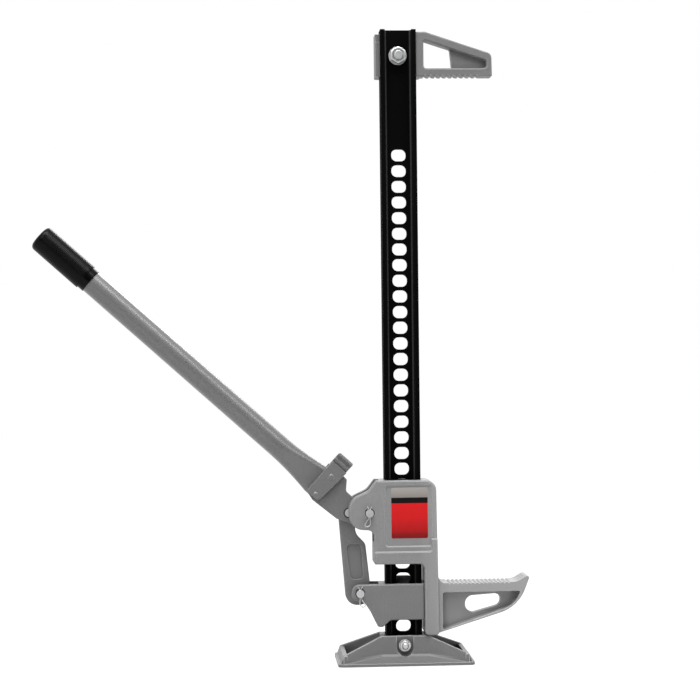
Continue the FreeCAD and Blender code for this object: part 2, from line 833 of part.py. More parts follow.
    # boss for the climbing pin and lugs for the latch, behind
    boss = disc(new_sketch(body, "XZ_Plane", -runner_front), 0, upper_pin_z, d.boss_dia / 2)
    pad(body, boss, d.boss_length, flip=True)
    lug_in = d.cross_length / 2 + d.side_gap * 2 + d.latch_plate
    lug_y = runner_front + d.latch_pin_out
    lug_reach = d.latch_pin_dia * 0.9
    lug = new_sketch(body, "YZ_Plane", lug_in + d.side_gap)
    outline(lug, [
        (runner_front - d.runner_edge * 2, d.latch_pin_z - lug_reach * 1.6),
        (lug_y + lug_reach, d.latch_pin_z - lug_reach, lug_reach * 0.9),
        (lug_y + lug_reach, d.latch_pin_z + lug_reach, lug_reach * 0.9),
        (runner_front - d.runner_edge * 2, d.latch_pin_z + lug_reach),
    ])
    ear = pad(body, lug, d.latch_lug)
    mirrored(body, [ear], "YZ_Plane")

    # bar channel, handle slot and bores
    channel = new_sketch(body, "XY_Plane")
    outline(channel, rectangle(-channel_x, channel_x, -channel_y, channel_y))
    pocket(body, channel, d.runner_top * 2, flip=True)
    slot_y = new_sketch(body, "XZ_Plane")
    far_left = ear_left - d.runner_corner
    outline(slot_y, rectangle(far_left, -d.ear_slot_floor, d.ear_slot_bottom, d.runner_top + d.panel_margin))
    pocket(body, slot_y, ear_inside * 2, symmetric=True)
    bores = new_sketch(body, "XZ_Plane")
    disc(bores, d.pivot_x, d.pivot_z, pin_bore)
    pocket(body, bores, d.runner_depth * 2, symmetric=True)
    rim = disc(new_sketch(body, "XZ_Plane", runner_front), d.pivot_x, d.pivot_z, pin_bore + d.runner_edge)
    pocket(body, rim, d.runner_edge)
    climb = disc(new_sketch(body, "XZ_Plane"), 0, upper_pin_z, climb_bore)
    pocket(body, climb, d.runner_depth * 2)
    latch_bore = disc(new_sketch(body, "YZ_Plane"), lug_y, d.latch_pin_z, d.latch_pin_dia / 2 + d.pin_gap)
    pocket(body, latch_bore, d.bar_width * 2, symmetric=True)


# Small runner: a sleeve on the bar with two ears for the link

def make_small_runner():
    body = new_body("small_runner")
    right = channel_x + d.small_right_wall
    ear_left = d.link_pin_x - d.small_ear
    ear_low = d.link_pin_z - d.small_ear
    shell = new_sketch(body, "XZ_Plane")
    outline(shell, [
        (ear_left, d.small_top, d.small_ear * 0.95),
        (ear_left, ear_low, d.small_ear * 0.95),
        (d.link_pin_x + d.small_ear * 0.45, ear_low, d.small_ear * 0.5),
        (-d.small_slot_floor - d.small_ear, d.small_bottom + d.small_ear * 0.9, d.small_ear),
        (-d.small_slot_floor - d.runner_edge * 1.5, d.small_toe, d.small_ear * 0.35),
        (-d.small_slot_floor + d.runner_edge * 2.5, d.small_toe, d.small_ear * 0.35),
        (-channel_x + d.runner_edge * 3.5, d.small_bottom, d.small_ear * 0.35),
        (right, d.small_bottom),
        (right, d.small_top),
    ])
    pad(body, shell, d.small_depth, symmetric=True)
    ease_edges(body, d.runner_edge * 0.75, on_depth(d.small_depth))

    lug = new_sketch(body, "XZ_Plane", -small_front)
    lug_half = d.boss_dia / 2 - d.runner_edge
    outline(lug, [
        (-lug_half, d.small_top - d.small_ear),
        (lug_half, d.small_top - d.small_ear),
        (lug_half, d.small_lug_top, d.small_ear * 0.5),
        (-lug_half, d.small_lug_top, d.small_ear * 0.5),
    ])
    pad(body, lug, small_front - channel_y)
    boss = disc(new_sketch(body, "XZ_Plane", -small_front), 0, lower_pin_z, d.boss_dia / 2)
    pad(body, boss, d.boss_length, flip=True)

    channel = new_sketch(body, "XY_Plane")
    outline(channel, rectangle(-channel_x, channel_x, -channel_y, channel_y))
    pocket(body, channel, d.small_lug_top * 2, flip=True)
    slot = new_sketch(body, "XZ_Plane")
    outline(slot, rectangle(ear_left - d.runner_edge, -d.small_slot_floor, 0, d.small_lug_top))
    pocket(body, slot, channel_y * 2, symmetric=True)
    bores = new_sketch(body, "XZ_Plane")
    disc(bores, d.link_pin_x, d.link_pin_z, pin_bore)
    pocket(body, bores, d.small_depth * 2, symmetric=True)
    rim = new_sketch(body, "XZ_Plane", small_front)
    disc(rim, d.link_pin_x, d.link_pin_z, pin_bore + d.runner_edge)
    pocket(body, rim, d.runner_edge)
    climb = disc(new_sketch(body, "XZ_Plane"), 0, lower_pin_z, climb_bore)
    pocket(body, climb, d.small_depth * 2)


# Link between the handle's crank pin and the small runner

def make_link():
    body = new_body("pitman_link")
    top, foot = d.link_top_radius, d.link_foot_radius
    foot_left, foot_right = d.link_pin_x - foot, d.link_pin_x + foot
    neck_z = d.pivot_z - top * 1.75
    waist_z = d.pivot_z - d.crank_arm * 1.56
    shape = new_sketch(body, "XZ_Plane")
    outline(shape, [
        (crank_x - top, d.pivot_z + top, top * 0.93),
        (foot_left - d.slide_gap, d.link_pin_z - foot, foot * 0.9),
        (foot_right, d.link_pin_z - foot, foot * 0.95),
        (d.pivot_x - d.runner_edge * 3, waist_z, d.ear_radius * 0.5),
        (crank_x + d.runner_edge * 2, neck_z + top * 0.25, d.ear_radius),
        (crank_x + top, d.pivot_z - top * 0.3, d.ear_radius * 0.35),
        (crank_x + top, d.pivot_z + top, top * 0.93),
    ])
    pad(body, shape, d.link_depth, symmetric=True)
    ease_edges(body, d.runner_edge * 0.75, on_depth(d.link_depth))

    margin = foot * 0.33
    panel = [
        (foot_left + margin * 0.95, d.link_pin_z + foot, margin),
        (foot_right - margin * 2.1, d.link_pin_z + foot, margin),
        (d.pivot_x - d.runner_edge * 3 - margin, waist_z, margin),
        (crank_x - top + margin * 1.9, waist_z, margin),
    ]
    front = outline(new_sketch(body, "XZ_Plane", link_half), panel)
    mirrored(body, [pocket(body, front, d.link_panel_depth)], "XZ_Plane")

    bore = disc(new_sketch(body, "XZ_Plane"), crank_x, d.pivot_z, pin_bore)
    pocket(body, bore, d.link_depth, symmetric=True)
    # the lower eye is a slot: this is the linkage's open pivot
    slot_round = pin_radius + d.runner_edge
    slot = new_sketch(body, "XZ_Plane")
    low, high = d.link_pin_z - slot_round, d.link_pin_z + slot_round
    left, right = d.link_pin_x - slot_round - d.link_slot, d.link_pin_x + slot_round
    outline(slot, [c + (slot_round - d.slide_gap / 10,) for c in rectangle(left, right, low, high)])
    pocket(body, slot, d.link_depth, symmetric=True)


# Handle pieces are drawn in a frame at the handle pivot, with X from the grip to the pivot

def seat_handle(part):
    turn = FreeCAD.Rotation(ALONG_Y, d.handle_angle.value)
    part.Placement = FreeCAD.Placement(FreeCAD.Vector(), turn)
    part.setExpression("Placement.Rotation.Angle", d.handle_angle.text + " * 1 deg")
    place(part, d.pivot_x, ZERO, d.pivot_z)
    doc.recompute()


def degrees(function, size):
    """Sine or cosine of an angle of the sheet."""
    value = getattr(math, function)(math.radians(size.value))
    return Size(value, f"{function}({size.text} * 1 deg)")


crank_local_x = -(d.crank_arm * degrees("cos", d.handle_angle))
crank_local_z = -(d.crank_arm * degrees("sin", d.handle_angle))
rivet_x = -(d.strap_start + d.strap_end) / 2
rivet_z = [-d.axis_offset - d.rivet_spread / 2, -d.axis_offset + d.rivet_spread / 2]


def make_socket():
    body = new_body("handle_socket")
    eye = d.cheek * 2.5
    half_flat = d.tube_flat_width / 2
    low = -d.axis_offset - half_flat
    shape = new_sketch(body, "XZ_Plane")
    outline(shape, [
        (eye, eye, eye * 0.98),
        (-eye * 0.65, eye, eye * 0.6),
        (-eye * 1.85, eye * 0.08, eye * 0.75),
        (-eye * 3.3, eye * 0.08, eye * 0.6),
        (-eye * 4.05, eye * 1.08, d.runner_edge),
        (-d.strap_end, eye * 1.08, d.runner_edge / 2),
        (-d.strap_end, low + d.runner_edge, d.cheek * 0.8),
        (-d.strap_start - d.cheek * 2, low - d.hook_leaf, d.cheek * 1.5),
        (-d.crank_arm, low, d.cheek * 1.5),
        (-d.cheek * 0.6, low + d.cheek * 2, d.cheek * 2),
        (eye, -eye, eye * 0.8),
    ])
    pad(body, shape, cheek_outside * 2, symmetric=True)
    ease_edges(body, d.runner_edge * 0.5, on_depth(cheek_outside * 2))

    fork = new_sketch(body, "XZ_Plane")
    fold_end = -d.crank_arm - d.cheek * 1.5
    outline(fork, [
        (-d.strap_end - d.cheek, low - d.pin_gap),
        (fold_end, low - d.pin_gap),
        (fold_end, low - d.cheek * 2),
        (eye * 2, low - d.cheek * 2),
        (eye * 2, eye * 2),
        (-d.strap_end - d.cheek, eye * 2),
    ])
    pocket(body, fork, cheek_inside * 2, symmetric=True)

    # raised strap on the front, and the leaf of the parking hook that rises out of it
    strap = new_sketch(body, "XZ_Plane", cheek_outside - d.runner_edge)
    outline(strap, [
        (-d.strap_end, low + d.runner_edge, d.cheek * 0.8),
        (-d.strap_start - d.cheek * 0.8, low + d.runner_edge, d.cheek),
        (-d.strap_start, d.strap_crest),
        (-d.strap_end, d.strap_crest),
    ])
    pad(body, strap, d.strap_thickness + d.runner_edge)
    leaf_back = bar_half_y + d.side_gap
    leaf_front = leaf_back + d.hook_leaf
    lean = d.hook_leaf * 1.8
    bend_z = d.strap_crest + (d.hook_rise - d.strap_crest) * 0.4
    leaf_left = -d.strap_end - d.runner_edge / 2
    leaf_right = leaf_left + d.strap_end - d.strap_start
    leaf = new_sketch(body, "YZ_Plane", leaf_left)
    outline(leaf, [
        (-leaf_back, d.strap_crest - d.cheek),
        (-leaf_back, bend_z, d.hook_leaf * 2.5),
        (-leaf_back - lean, d.hook_rise, d.hook_leaf * 0.4),
        (-leaf_front - lean, d.hook_rise - d.hook_leaf * 0.5, d.hook_leaf * 0.4),
        (-leaf_front, bend_z - d.slide_gap, d.hook_leaf * 1.5),
        (-leaf_front, d.strap_crest - d.cheek),
    ])
    pad(body, leaf, leaf_right - leaf_left)
    crown = d.hook_rise + d.slide_gap
    corner_z = crown - d.hook_leaf * 1.2
    clipped = new_sketch(body, "XZ_Plane")
    outline(clipped, [
        (leaf_left - d.slide_gap, corner_z),
        (leaf_left + d.hook_leaf * 1.2, crown),
        (leaf_left - d.slide_gap, crown),
    ])
    outline(clipped, [
        (leaf_right + d.slide_gap, corner_z),
        (leaf_right + d.slide_gap, crown),
        (leaf_right - d.hook_leaf * 1.2, crown),
    ])
    pocket(body, clipped, d.runner_depth * 2, symmetric=True)

    bores = new_sketch(body, "XZ_Plane")
    disc(bores, 0, 0, pin_bore)
    disc(bores, crank_local_x, crank_local_z, pin_bore)
    for z in rivet_z:
        disc(bores, rivet_x, z, d.rivet_dia / 2 + d.pin_gap)
    pocket(body, bores, d.runner_depth * 2, symmetric=True)
    seat_handle(body)


def ring_of_arcs(x, half_y, half_z, corner_y, corner_z):
    """A closed section across the tube: four curves through its extremes that meet at four corners."""
    def at(y, z):
        return FreeCAD.Vector(x, y, z - d.axis_offset.value)

    def curve(start, middle, end):
        if start.x == middle.x == end.x and start.y == middle.y == end.y:
            return Part.LineSegment(start, end)
        return Part.Arc(start, middle, end)

    corners = [at(-corner_y, corner_z), at(corner_y, corner_z), at(corner_y, -corner_z), at(-corner_y, -corner_z)]
    extremes = [at(0, half_z), at(half_y, 0), at(0, -half_z), at(-half_y, 0)]
    curves = [curve(corners[i], extremes[i], corners[(i + 1) % 4]) for i in range(4)]
    return Part.Wire([c.toShape() for c in curves])


def make_tube():
    round_half = d.tube_dia.value / 2
    flat_half = d.tube_flat_width.value / 2
    far_end = -(d.handle_length.value - d.grip_length.value / 4)

    def skin(inset):
        """The tube's outside, or its inside when set in by the wall: round, flaring to a pressed flat."""
        flat_y = cheek_inside.value - d.pin_gap.value - inset
        flat_z = flat_half - inset
        flat = ring_of_arcs(-d.tube_flat_start.value, flat_y, flat_z, flat_y, flat_z - flat_y)
        neck_length = d.tube_flat_start.value - d.tube_end.value
        neck = Part.Face(flat).extrude(ALONG_X * neck_length)
        radius = round_half - inset
        corner = radius / math.sqrt(2)
        full = ring_of_arcs(-d.tube_flare_start.value, radius, radius, corner, corner)
        flare = Part.makeLoft([flat, full], True, True)
        barrel = Part.Face(full).extrude(ALONG_X * (far_end + d.tube_flare_start.value))
        return neck.fuse([flare, barrel]).removeSplitter()

    tube = skin(0).cut(skin(d.tube_wall.value))
    for z in rivet_z:
        start = FreeCAD.Vector(rivet_x.value, -d.bar_width.value, z.value)
        bore = d.rivet_dia.value / 2 + d.pin_gap.value
        tube = tube.cut(Part.makeCylinder(bore, d.bar_width.value * 2, start, ALONG_Y))
    seat_handle(fixed_shape("handle_tube", tube))


def make_grip():
    body = new_body("handle_grip")
    radius, collar = d.grip_dia / 2, d.grip_collar_dia / 2
    bore = d.tube_dia / 2 + d.pin_gap
    end, mouth = -d.handle_length, -(d.handle_length - d.grip_length)
    tube_tip = -(d.handle_length - d.grip_length / 4) - d.pin_gap
    shape = new_sketch(body, "XY_Plane", -d.axis_offset)
    outline(shape, [
        (end, 0),
        (tube_tip, 0),
        (tube_tip, bore),
        (mouth, bore),
        (mouth, collar),
        (mouth - d.grip_collar, collar),
        (mouth - d.grip_collar, radius),
        (end + d.slide_gap * 4, radius, d.cheek * 0.8),
        (end, radius * 0.45, d.grip_dia * 0.2),
    ])
    turned = body.newObject("PartDesign::Revolution", "Revolution")
    turned.Profile = shape
    turned.ReferenceAxis = (shape, ["H_Axis"])
    turned.Angle = 360
    doc.recompute()
    seat_handle(body)


def make_rivet(label, z):
    """A rivet through the socket and the tube, with low round heads."""
    front = cheek_outside.value + d.strap_thickness.value
    back = cheek_outside.value
    radius = d.rivet_dia.value / 2
    head = radius * 0.35
    dome = (radius ** 2 + head ** 2) / (2 * head)

    def at(y):
        return FreeCAD.Vector(rivet_x.value, y, z.value)

    shank = Part.makeCylinder(radius, front + back + head * 2, at(-front - head), ALONG_Y)
    cap = Part.makeSphere(dome, at(dome - front - head))
    foot = Part.makeSphere(dome, at(back + head - dome))
    middle = Part.makeCylinder(radius, front + back, at(-front), ALONG_Y)
    solid = middle.fuse([shank.common(cap), shank.common(foot)]).removeSplitter()
    seat_handle(fixed_shape(label, solid.Solids[0]))


# Pins and their split pins

def make_headed_pin(label, x, z, half_depth):
    """A pin across two ears, its head behind and a drilled tail in front."""
    shank_start = -half_depth - d.pin_tail
    shank = rod(f"{label}_shank", d.link_pin_dia, half_depth * 2 + d.pin_tail, x, shank_start, z, ALONG_Y)
    head = rod(f"{label}_head", d.pin_head_dia, d.pin_head, x, half_depth, z, ALONG_Y)
    solid = doc.addObject("Part::MultiFuse", f"{label}_solid")
    solid.Shapes = [shank, head]
    cross_y = -half_depth - d.pin_tail / 2
    drill = rod(f"{label}_drill", d.cotter_wire * 2.2, d.pin_head_dia * 2, x, cross_y,
                z - d.pin_head_dia, FreeCAD.Vector(0, 0, 1))
    cut(label, solid, drill)


def bent_wire(points, wire, upright):
    """A six-sided wire along a run of points, none of whose stretches lies along upright."""
    rings = []
    for i, here in enumerate(points):
        along = points[min(i + 1, len(points) - 1)] - points[max(i - 1, 0)]
        side = along.cross(upright).normalize()
        over = side.cross(along).normalize()
        angles = [math.radians(60 * k) for k in range(7)]
        ring = [here + side * (wire / 2 * math.cos(a)) + over * (wire / 2 * math.sin(a)) for a in angles]
        rings.append(Part.makePolygon(ring))
    return Part.makeLoft(rings, True, True)


def make_split_pin(label, x, z, half_depth):
    """One bent wire: two legs side by side through the pin, an eye below, ends spread above."""
    wire = d.cotter_wire.value
    reach = pin_radius.value
    y = -half_depth.value - d.pin_tail.value / 2
    side = wire * 0.53
    eye_low, eye_half = reach * 3.1, reach * 0.5
    tip_rise, tip_spread = reach * 0.8, reach * 0.5
    right = [(side + tip_spread, reach + tip_rise), (side, reach), (side, -reach), (eye_half, -eye_low)]
    left = [(-across, height) for across, height in reversed(right)]
    route = [FreeCAD.Vector(x.value + across, y, z.value + height) for across, height in right + left]
    points = [route[0]]
    for before, here, after in zip(route, route[1:], route[2:]):
        bend = wire * 1.1
        first, last, centre = corner_tangents(before, here, after, bend)
        points += [first, centre + (here - centre).normalize() * bend, last]
    fixed_shape(label, bent_wire(points + [route[-1]], wire, ALONG_Y))


# Climbing pins: bevelled tip, cross pin near the tail, and a spring round the tail

def make_climbing_pin(name, z, boss_face):
    tail_y = d.climb_tip + d.climb_length
    body = new_body(f"{name}_climbing_pin")
    radius = d.climb_dia / 2
    shape = new_sketch(body, "YZ_Plane")
    outline(shape, [
        (d.climb_tip, z),
        (tail_y, z),
        (tail_y, z + radius - d.runner_edge),
        (tail_y - d.runner_edge, z + radius),
        (d.climb_tip + d.climb_bevel, z + radius),
        (d.climb_tip, z + radius - d.climb_bevel),
    ])
    axis = shape.addGeometry(Part.LineSegment(
        FreeCAD.Vector(0, z.value, 0), FreeCAD.Vector(tail_y.value, z.value, 0)), True)
    locate(shape, axis, 1, ZERO, z)
    locate(shape, axis, 2, tail_y, z)
    turned = body.newObject("PartDesign::Revolution", "Revolution")
    turned.Profile = shape
    turned.ReferenceAxis = (shape, ["Axis0"])
    turned.Angle = 360
    doc.recompute()
    cross_y = tail_y - d.cross_inset
    hole = disc(new_sketch(body, "YZ_Plane"), cross_y, z, d.cross_dia / 2 + d.pin_gap)
    pocket(body, hole, d.cross_length * 2, symmetric=True)
    cross = rod(f"{name}_cross_pin", d.cross_dia, d.cross_length, -d.cross_length / 2, cross_y, z, ALONG_X)
    SUB_PARTS.append(cross)

    wire = d.spring_wire.value
    room = cross_y.value - d.cross_dia.value / 2 - boss_face.value - wire - d.slide_gap.value
    coil = radius.value + wire / 2 + d.side_gap.value
    steps = 14
    points = []
    for k in range(int(steps * d.spring_turns.value) + 1):
        turn = 2 * math.pi * k / steps
        rise = room * k / (steps * d.spring_turns.value)
        points.append(FreeCAD.Vector(coil * math.cos(turn), rise, coil * math.sin(turn)))
    first_coil = boss_face.value + wire / 2 + d.slide_gap.value / 2
    spring = fixed_shape(f"{name}_pin_spring", bent_wire(points, wire, ALONG_Y))
    spring.Placement = FreeCAD.Placement(FreeCAD.Vector(0, first_coil, z.value), FreeCAD.Rotation())


# Reversing latch: a fork that straddles the upper spring, with a thumb tab behind its pivot

def make_latch():
    body = new_body("reversing_latch")
    inside = d.cross_length / 2 + d.side_gap * 2
    pivot_y = runner_front + d.latch_pin_out
    fork_y = runner_front + d.boss_length + d.side_gap * 2
    eye = d.latch_pin_dia * 0.85
    low = d.latch_pin_z - d.latch_drop
    high = d.latch_pin_z + d.latch_thumb
    prong = new_sketch(body, "YZ_Plane", inside)
    outline(prong, [
        (pivot_y - eye, d.latch_pin_z - eye, eye * 0.8),
        (fork_y, d.latch_pin_z - eye * 2.6, eye * 0.6),
        (fork_y, low, eye * 0.3),
        (fork_y + eye * 1.5, low, eye * 0.7),
        (fork_y + eye * 1.5, d.latch_pin_z - eye, eye),
        (pivot_y + eye, d.latch_pin_z + eye, eye * 0.8),
        (pivot_y - eye, d.latch_pin_z + eye, eye * 0.8),
    ])
    side = pad(body, prong, d.latch_plate)
    mirrored(body, [side], "YZ_Plane")
    thumb = new_sketch(body, "YZ_Plane")
    outline(thumb, [
        (pivot_y - eye * 0.5, d.latch_pin_z),
        (pivot_y + eye * 0.6, d.latch_pin_z),
        (pivot_y + eye * 1.2, d.latch_pin_z + eye * 0.6, eye * 0.8),
        (pivot_y + d.latch_reach, high - eye * 0.8, eye * 0.3),
        (pivot_y + d.latch_reach, high, eye * 0.3),
        (pivot_y - eye * 0.5, d.latch_pin_z + eye * 1.1, eye * 0.6),
    ])
    pad(body, thumb, (inside + d.latch_plate) * 2, symmetric=True)
    bore = disc(new_sketch(body, "YZ_Plane"), pivot_y, d.latch_pin_z, d.latch_pin_dia / 2 + d.pin_gap)
    pocket(body, bore, d.bar_width * 2, symmetric=True)
    half = inside + d.latch_plate + d.side_gap + d.latch_lug
    SUB_PARTS.append(rod("latch_pin", d.latch_pin_dia, half * 2, -half, pivot_y, d.latch_pin_z, ALONG_X))


make_bar()
make_base()
make_bolt("base", d.base_bolt_dia, d.base_bolt_z, d.base_recess_depth / 2, d.base_recess_depth / 2)
make_top_clamp()
make_bolt("clamp", d.clamp_bolt_dia, clamp_bolt_z, channel_y + d.clamp_back, web_half)
make_large_runner()
make_small_runner()
make_link()
make_socket()
make_tube()
make_grip()
make_rivet("lower_rivet", rivet_z[0])
make_rivet("upper_rivet", rivet_z[1])
make_headed_pin("handle_pivot_pin", d.pivot_x, d.pivot_z, runner_front)
make_split_pin("handle_pivot_cotter", d.pivot_x, d.pivot_z, runner_front)
SUB_PARTS.append(rod("crank_pin", d.link_pin_dia, cheek_outside * 2, crank_x, -cheek_outside, d.pivot_z, ALONG_Y))
make_headed_pin("link_foot_pin", d.link_pin_x, d.link_pin_z, small_front)
make_split_pin("link_foot_cotter", d.link_pin_x, d.link_pin_z, small_front)
make_climbing_pin("upper", upper_pin_z, runner_front + d.boss_length)
make_climbing_pin("lower", lower_pin_z, small_front + d.boss_length)
make_latch()
doc.recompute()

for thing in doc.Objects:
    if "Invalid" in thing.State or "Error" in thing.State:
        raise RuntimeError(f"{thing.Label} failed: {thing.State}")
os.makedirs("parts", exist_ok=True)
for part in SUB_PARTS:
    if part.Shape.isNull() or not part.Shape.isValid():
        raise RuntimeError(f"{part.Label} has no valid shape")
for part in SUB_PARTS:
    part.Shape.exportStep(f"parts/{part.Label}.step")
    print(part.Label, len(part.Shape.Solids), round(part.Shape.Volume))
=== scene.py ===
# %% [markdown]
# # A high-lift jack, dressed for the studio
# The solids come from the CAD frame, already in their places and in metres.
# This file gives them their finishes, and replaces the few pieces whose surface is too fine for solids:
# the flared tube, the knurled grip, the coil springs, the split pins, and the bolts with their nuts.
# Two beads on the hook's leaf and a sticker with plain bands of colour are added.

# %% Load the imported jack
import json
import math

import bmesh
import bpy
from mathutils import Matrix, Vector


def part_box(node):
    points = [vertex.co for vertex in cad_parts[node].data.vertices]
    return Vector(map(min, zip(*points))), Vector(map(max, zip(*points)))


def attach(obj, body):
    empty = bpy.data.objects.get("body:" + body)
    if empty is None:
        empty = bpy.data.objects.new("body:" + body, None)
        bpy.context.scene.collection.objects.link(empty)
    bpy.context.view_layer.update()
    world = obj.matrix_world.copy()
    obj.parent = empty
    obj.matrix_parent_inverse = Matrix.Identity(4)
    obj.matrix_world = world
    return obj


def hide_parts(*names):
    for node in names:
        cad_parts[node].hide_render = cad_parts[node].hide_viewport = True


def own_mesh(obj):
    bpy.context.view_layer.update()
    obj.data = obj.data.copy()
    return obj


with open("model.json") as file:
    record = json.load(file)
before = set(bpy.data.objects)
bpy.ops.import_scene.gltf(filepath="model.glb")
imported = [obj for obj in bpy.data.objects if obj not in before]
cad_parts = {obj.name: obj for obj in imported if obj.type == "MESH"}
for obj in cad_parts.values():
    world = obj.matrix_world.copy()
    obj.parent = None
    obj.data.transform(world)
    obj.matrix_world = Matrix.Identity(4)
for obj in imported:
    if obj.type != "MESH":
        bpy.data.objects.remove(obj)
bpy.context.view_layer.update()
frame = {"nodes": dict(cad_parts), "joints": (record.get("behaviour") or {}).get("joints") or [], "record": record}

MM = 0.001
nodes = frame["nodes"]
print("loaded", len(nodes), "solids")

# %% [markdown]
# ## Camera, floor and light
# The photograph is taken from far away and a little to the left, level with the middle of the jack.
# A long lens at that distance gives the same slight perspective.
# The camera is rolled by half a degree, because the jack leans that much in the picture.

# %% The camera
SENSOR = 36.0
LENS = 97.4
CAMERA_DISTANCE = 2.5
CAMERA_TARGET = Vector((-0.0668, 0.0, 0.4107))
CAMERA_YAW = math.radians(3.4)
CAMERA_ROLL = math.radians(-0.62)


def add_camera():
    camera = bpy.data.objects.new("camera", bpy.data.cameras.new("camera"))
    camera.data.sensor_width = SENSOR
    camera.data.lens = LENS
    back = Vector((-math.sin(CAMERA_YAW), -math.cos(CAMERA_YAW), 0.0))
    look = (-back).to_track_quat("-Z", "Y").to_matrix().to_4x4()
    roll = Matrix.Rotation(CAMERA_ROLL, 4, "Z")
    camera.matrix_world = Matrix.Translation(CAMERA_TARGET + back * CAMERA_DISTANCE) @ look @ roll
    bpy.context.scene.collection.objects.link(camera)
    bpy.context.scene.camera = camera


add_camera()
bpy.context.scene.view_settings.view_transform = "Standard"
print("camera at", CAMERA_DISTANCE, "m")

# %% [markdown]
# The background is white to the camera and to shiny surfaces, and dimmer as a light, so that the lamps
# still model the shapes. A Light Path node tells the two kinds of rays apart.

# %% The white backdrop
BACKDROP_WHITE = 1.0
BACKDROP_LIGHT = 0.27


def seen_directly(tree):
    """A factor of one for the rays that show the backdrop as it is: camera, glossy and see-through rays."""
    path = tree.nodes.new("ShaderNodeLightPath")
    factor = path.outputs["Is Camera Ray"]
    for other in ("Is Glossy Ray", "Is Transmission Ray"):
        either = tree.nodes.new("ShaderNodeMath")
        either.operation = "MAXIMUM"
        tree.links.new(factor, either.inputs[0])
        tree.links.new(path.outputs[other], either.inputs[1])
        factor = either.outputs[0]
    return factor


def add_world():
    world = bpy.data.worlds.new("studio")
    bpy.context.scene.world = world
    world.use_nodes = True
    tree = world.node_tree
    background = tree.nodes["Background"]
    background.inputs["Color"].default_value = (1.0, 1.0, 1.0, 1.0)
    strength = tree.nodes.new("ShaderNodeMapRange")
    strength.inputs["To Min"].default_value = BACKDROP_LIGHT
    strength.inputs["To Max"].default_value = BACKDROP_WHITE
    tree.links.new(seen_directly(tree), strength.inputs["Value"])
    tree.links.new(strength.outputs["Result"], background.inputs["Strength"])


add_world()
print("backdrop lights the jack at", BACKDROP_LIGHT)

# %% [markdown]
# The floor is the same white, with the jack's own shadow on it. A plain white floor would show grey under
# these lamps, so a part of it glows for the rays that see it directly, and the rest takes the shadow.

# %% The white floor
FLOOR_SIZE = 14.0
FLOOR_COLOUR = (0.8, 0.8, 0.8, 1.0)
FLOOR_GLOW_SHARE = 0.78
FLOOR_GLOW = 1.22


def add_sheet(name, corners, colour):
    """A flat matt sheet that belongs to the studio."""
    mesh = bpy.data.meshes.new(name)
    mesh.from_pydata(corners, [], [(0, 1, 2, 3)])
    sheet = bpy.data.objects.new(name, mesh)
    bpy.context.scene.collection.objects.link(sheet)
    material = bpy.data.materials.new(name)
    material.use_nodes = True
    shader = material.node_tree.nodes["Principled BSDF"]
    shader.inputs["Base Color"].default_value = colour
    shader.inputs["Roughness"].default_value = 1.0
    shader.inputs["Specular IOR Level"].default_value = 0.0
    mesh.materials.append(material)
    return sheet, material.node_tree, shader


def add_floor():
    half = FLOOR_SIZE / 2
    corners = [(-half, -half, 0), (half, -half, 0), (half, half, 0), (-half, half, 0)]
    _, tree, shader = add_sheet("floor", corners, FLOOR_COLOUR)
    glow = tree.nodes.new("ShaderNodeEmission")
    glow.inputs["Strength"].default_value = FLOOR_GLOW
    blend = tree.nodes.new("ShaderNodeMixShader")
    share = tree.nodes.new("ShaderNodeMath")
    share.operation = "MULTIPLY"
    share.inputs[1].default_value = FLOOR_GLOW_SHARE
    tree.links.new(seen_directly(tree), share.inputs[0])
    tree.links.new(share.outputs[0], blend.inputs["Fac"])
    tree.links.new(shader.outputs["BSDF"], blend.inputs[1])
    tree.links.new(glow.outputs["Emission"], blend.inputs[2])
    tree.links.new(blend.outputs["Shader"], tree.nodes["Material Output"].inputs["Surface"])


add_floor()
print("white floor", FLOOR_SIZE, "m wide")

# %% [markdown]
# A dark card stands behind the camera, out of its sight. Bright metal and black lacquer are only as good
# as what they mirror: with the card in front they keep deep tones, and their edges pick up the white room.

# %% The dark card
CARD_DISTANCE = 3.4
CARD_HALF_WIDTH = 2.6
CARD_FOOT = 0.02
CARD_HEIGHT = 2.6
CARD_COLOUR = (0.03, 0.03, 0.03, 1.0)


def add_card():
    y = -CARD_DISTANCE
    left, right = -CARD_HALF_WIDTH, CARD_HALF_WIDTH
    corners = [(left, y, CARD_FOOT), (right, y, CARD_FOOT), (right, y, CARD_HEIGHT), (left, y, CARD_HEIGHT)]
    card, _, _ = add_sheet("dark_card", corners, CARD_COLOUR)
    card.visible_camera = False


add_card()
print("dark card", CARD_DISTANCE, "m in front")

# %% [markdown]
# A wide soft box overhead is the main light, as in the photograph, where every edge that faces up is bright.
# A weaker one beside the camera opens up the front, and one behind shows the far side. A narrow strip to the
# right lies parallel to the handle, so that it draws one clean streak along the tube.

# %% The lamps
HANDLE_ANGLE = math.radians(42.0)
TUBE_DIRECTION = Vector((-math.cos(HANDLE_ANGLE), 0.0, math.sin(HANDLE_ANGLE)))
ACROSS = Vector((1.0, 0.0, 0.0))
LAMPS = {
    "overhead": {
        "position": (-0.1, -0.75, 2.35), "aim": (-0.05, 0.0, 0.3), "long_axis": ACROSS,
        "long_side": 1.9, "short_side": 1.1, "watts": 53.0,
    },
    "front": {
        "position": (-0.9, -2.3, 1.7), "aim": (-0.05, 0.0, 0.35), "long_axis": ACROSS,
        "long_side": 1.2, "short_side": 1.0, "watts": 14.0,
    },
    "rear": {
        "position": (0.4, 2.3, 1.9), "aim": (-0.05, 0.0, 0.35), "long_axis": ACROSS,
        "long_side": 1.2, "short_side": 1.0, "watts": 26.0,
    },
    "strip": {
        "position": (1.05, -1.12, 1.78), "aim": (-0.25, 0.0, 0.35), "long_axis": TUBE_DIRECTION,
        "long_side": 1.7, "short_side": 0.26, "watts": 9.0,
    },
}


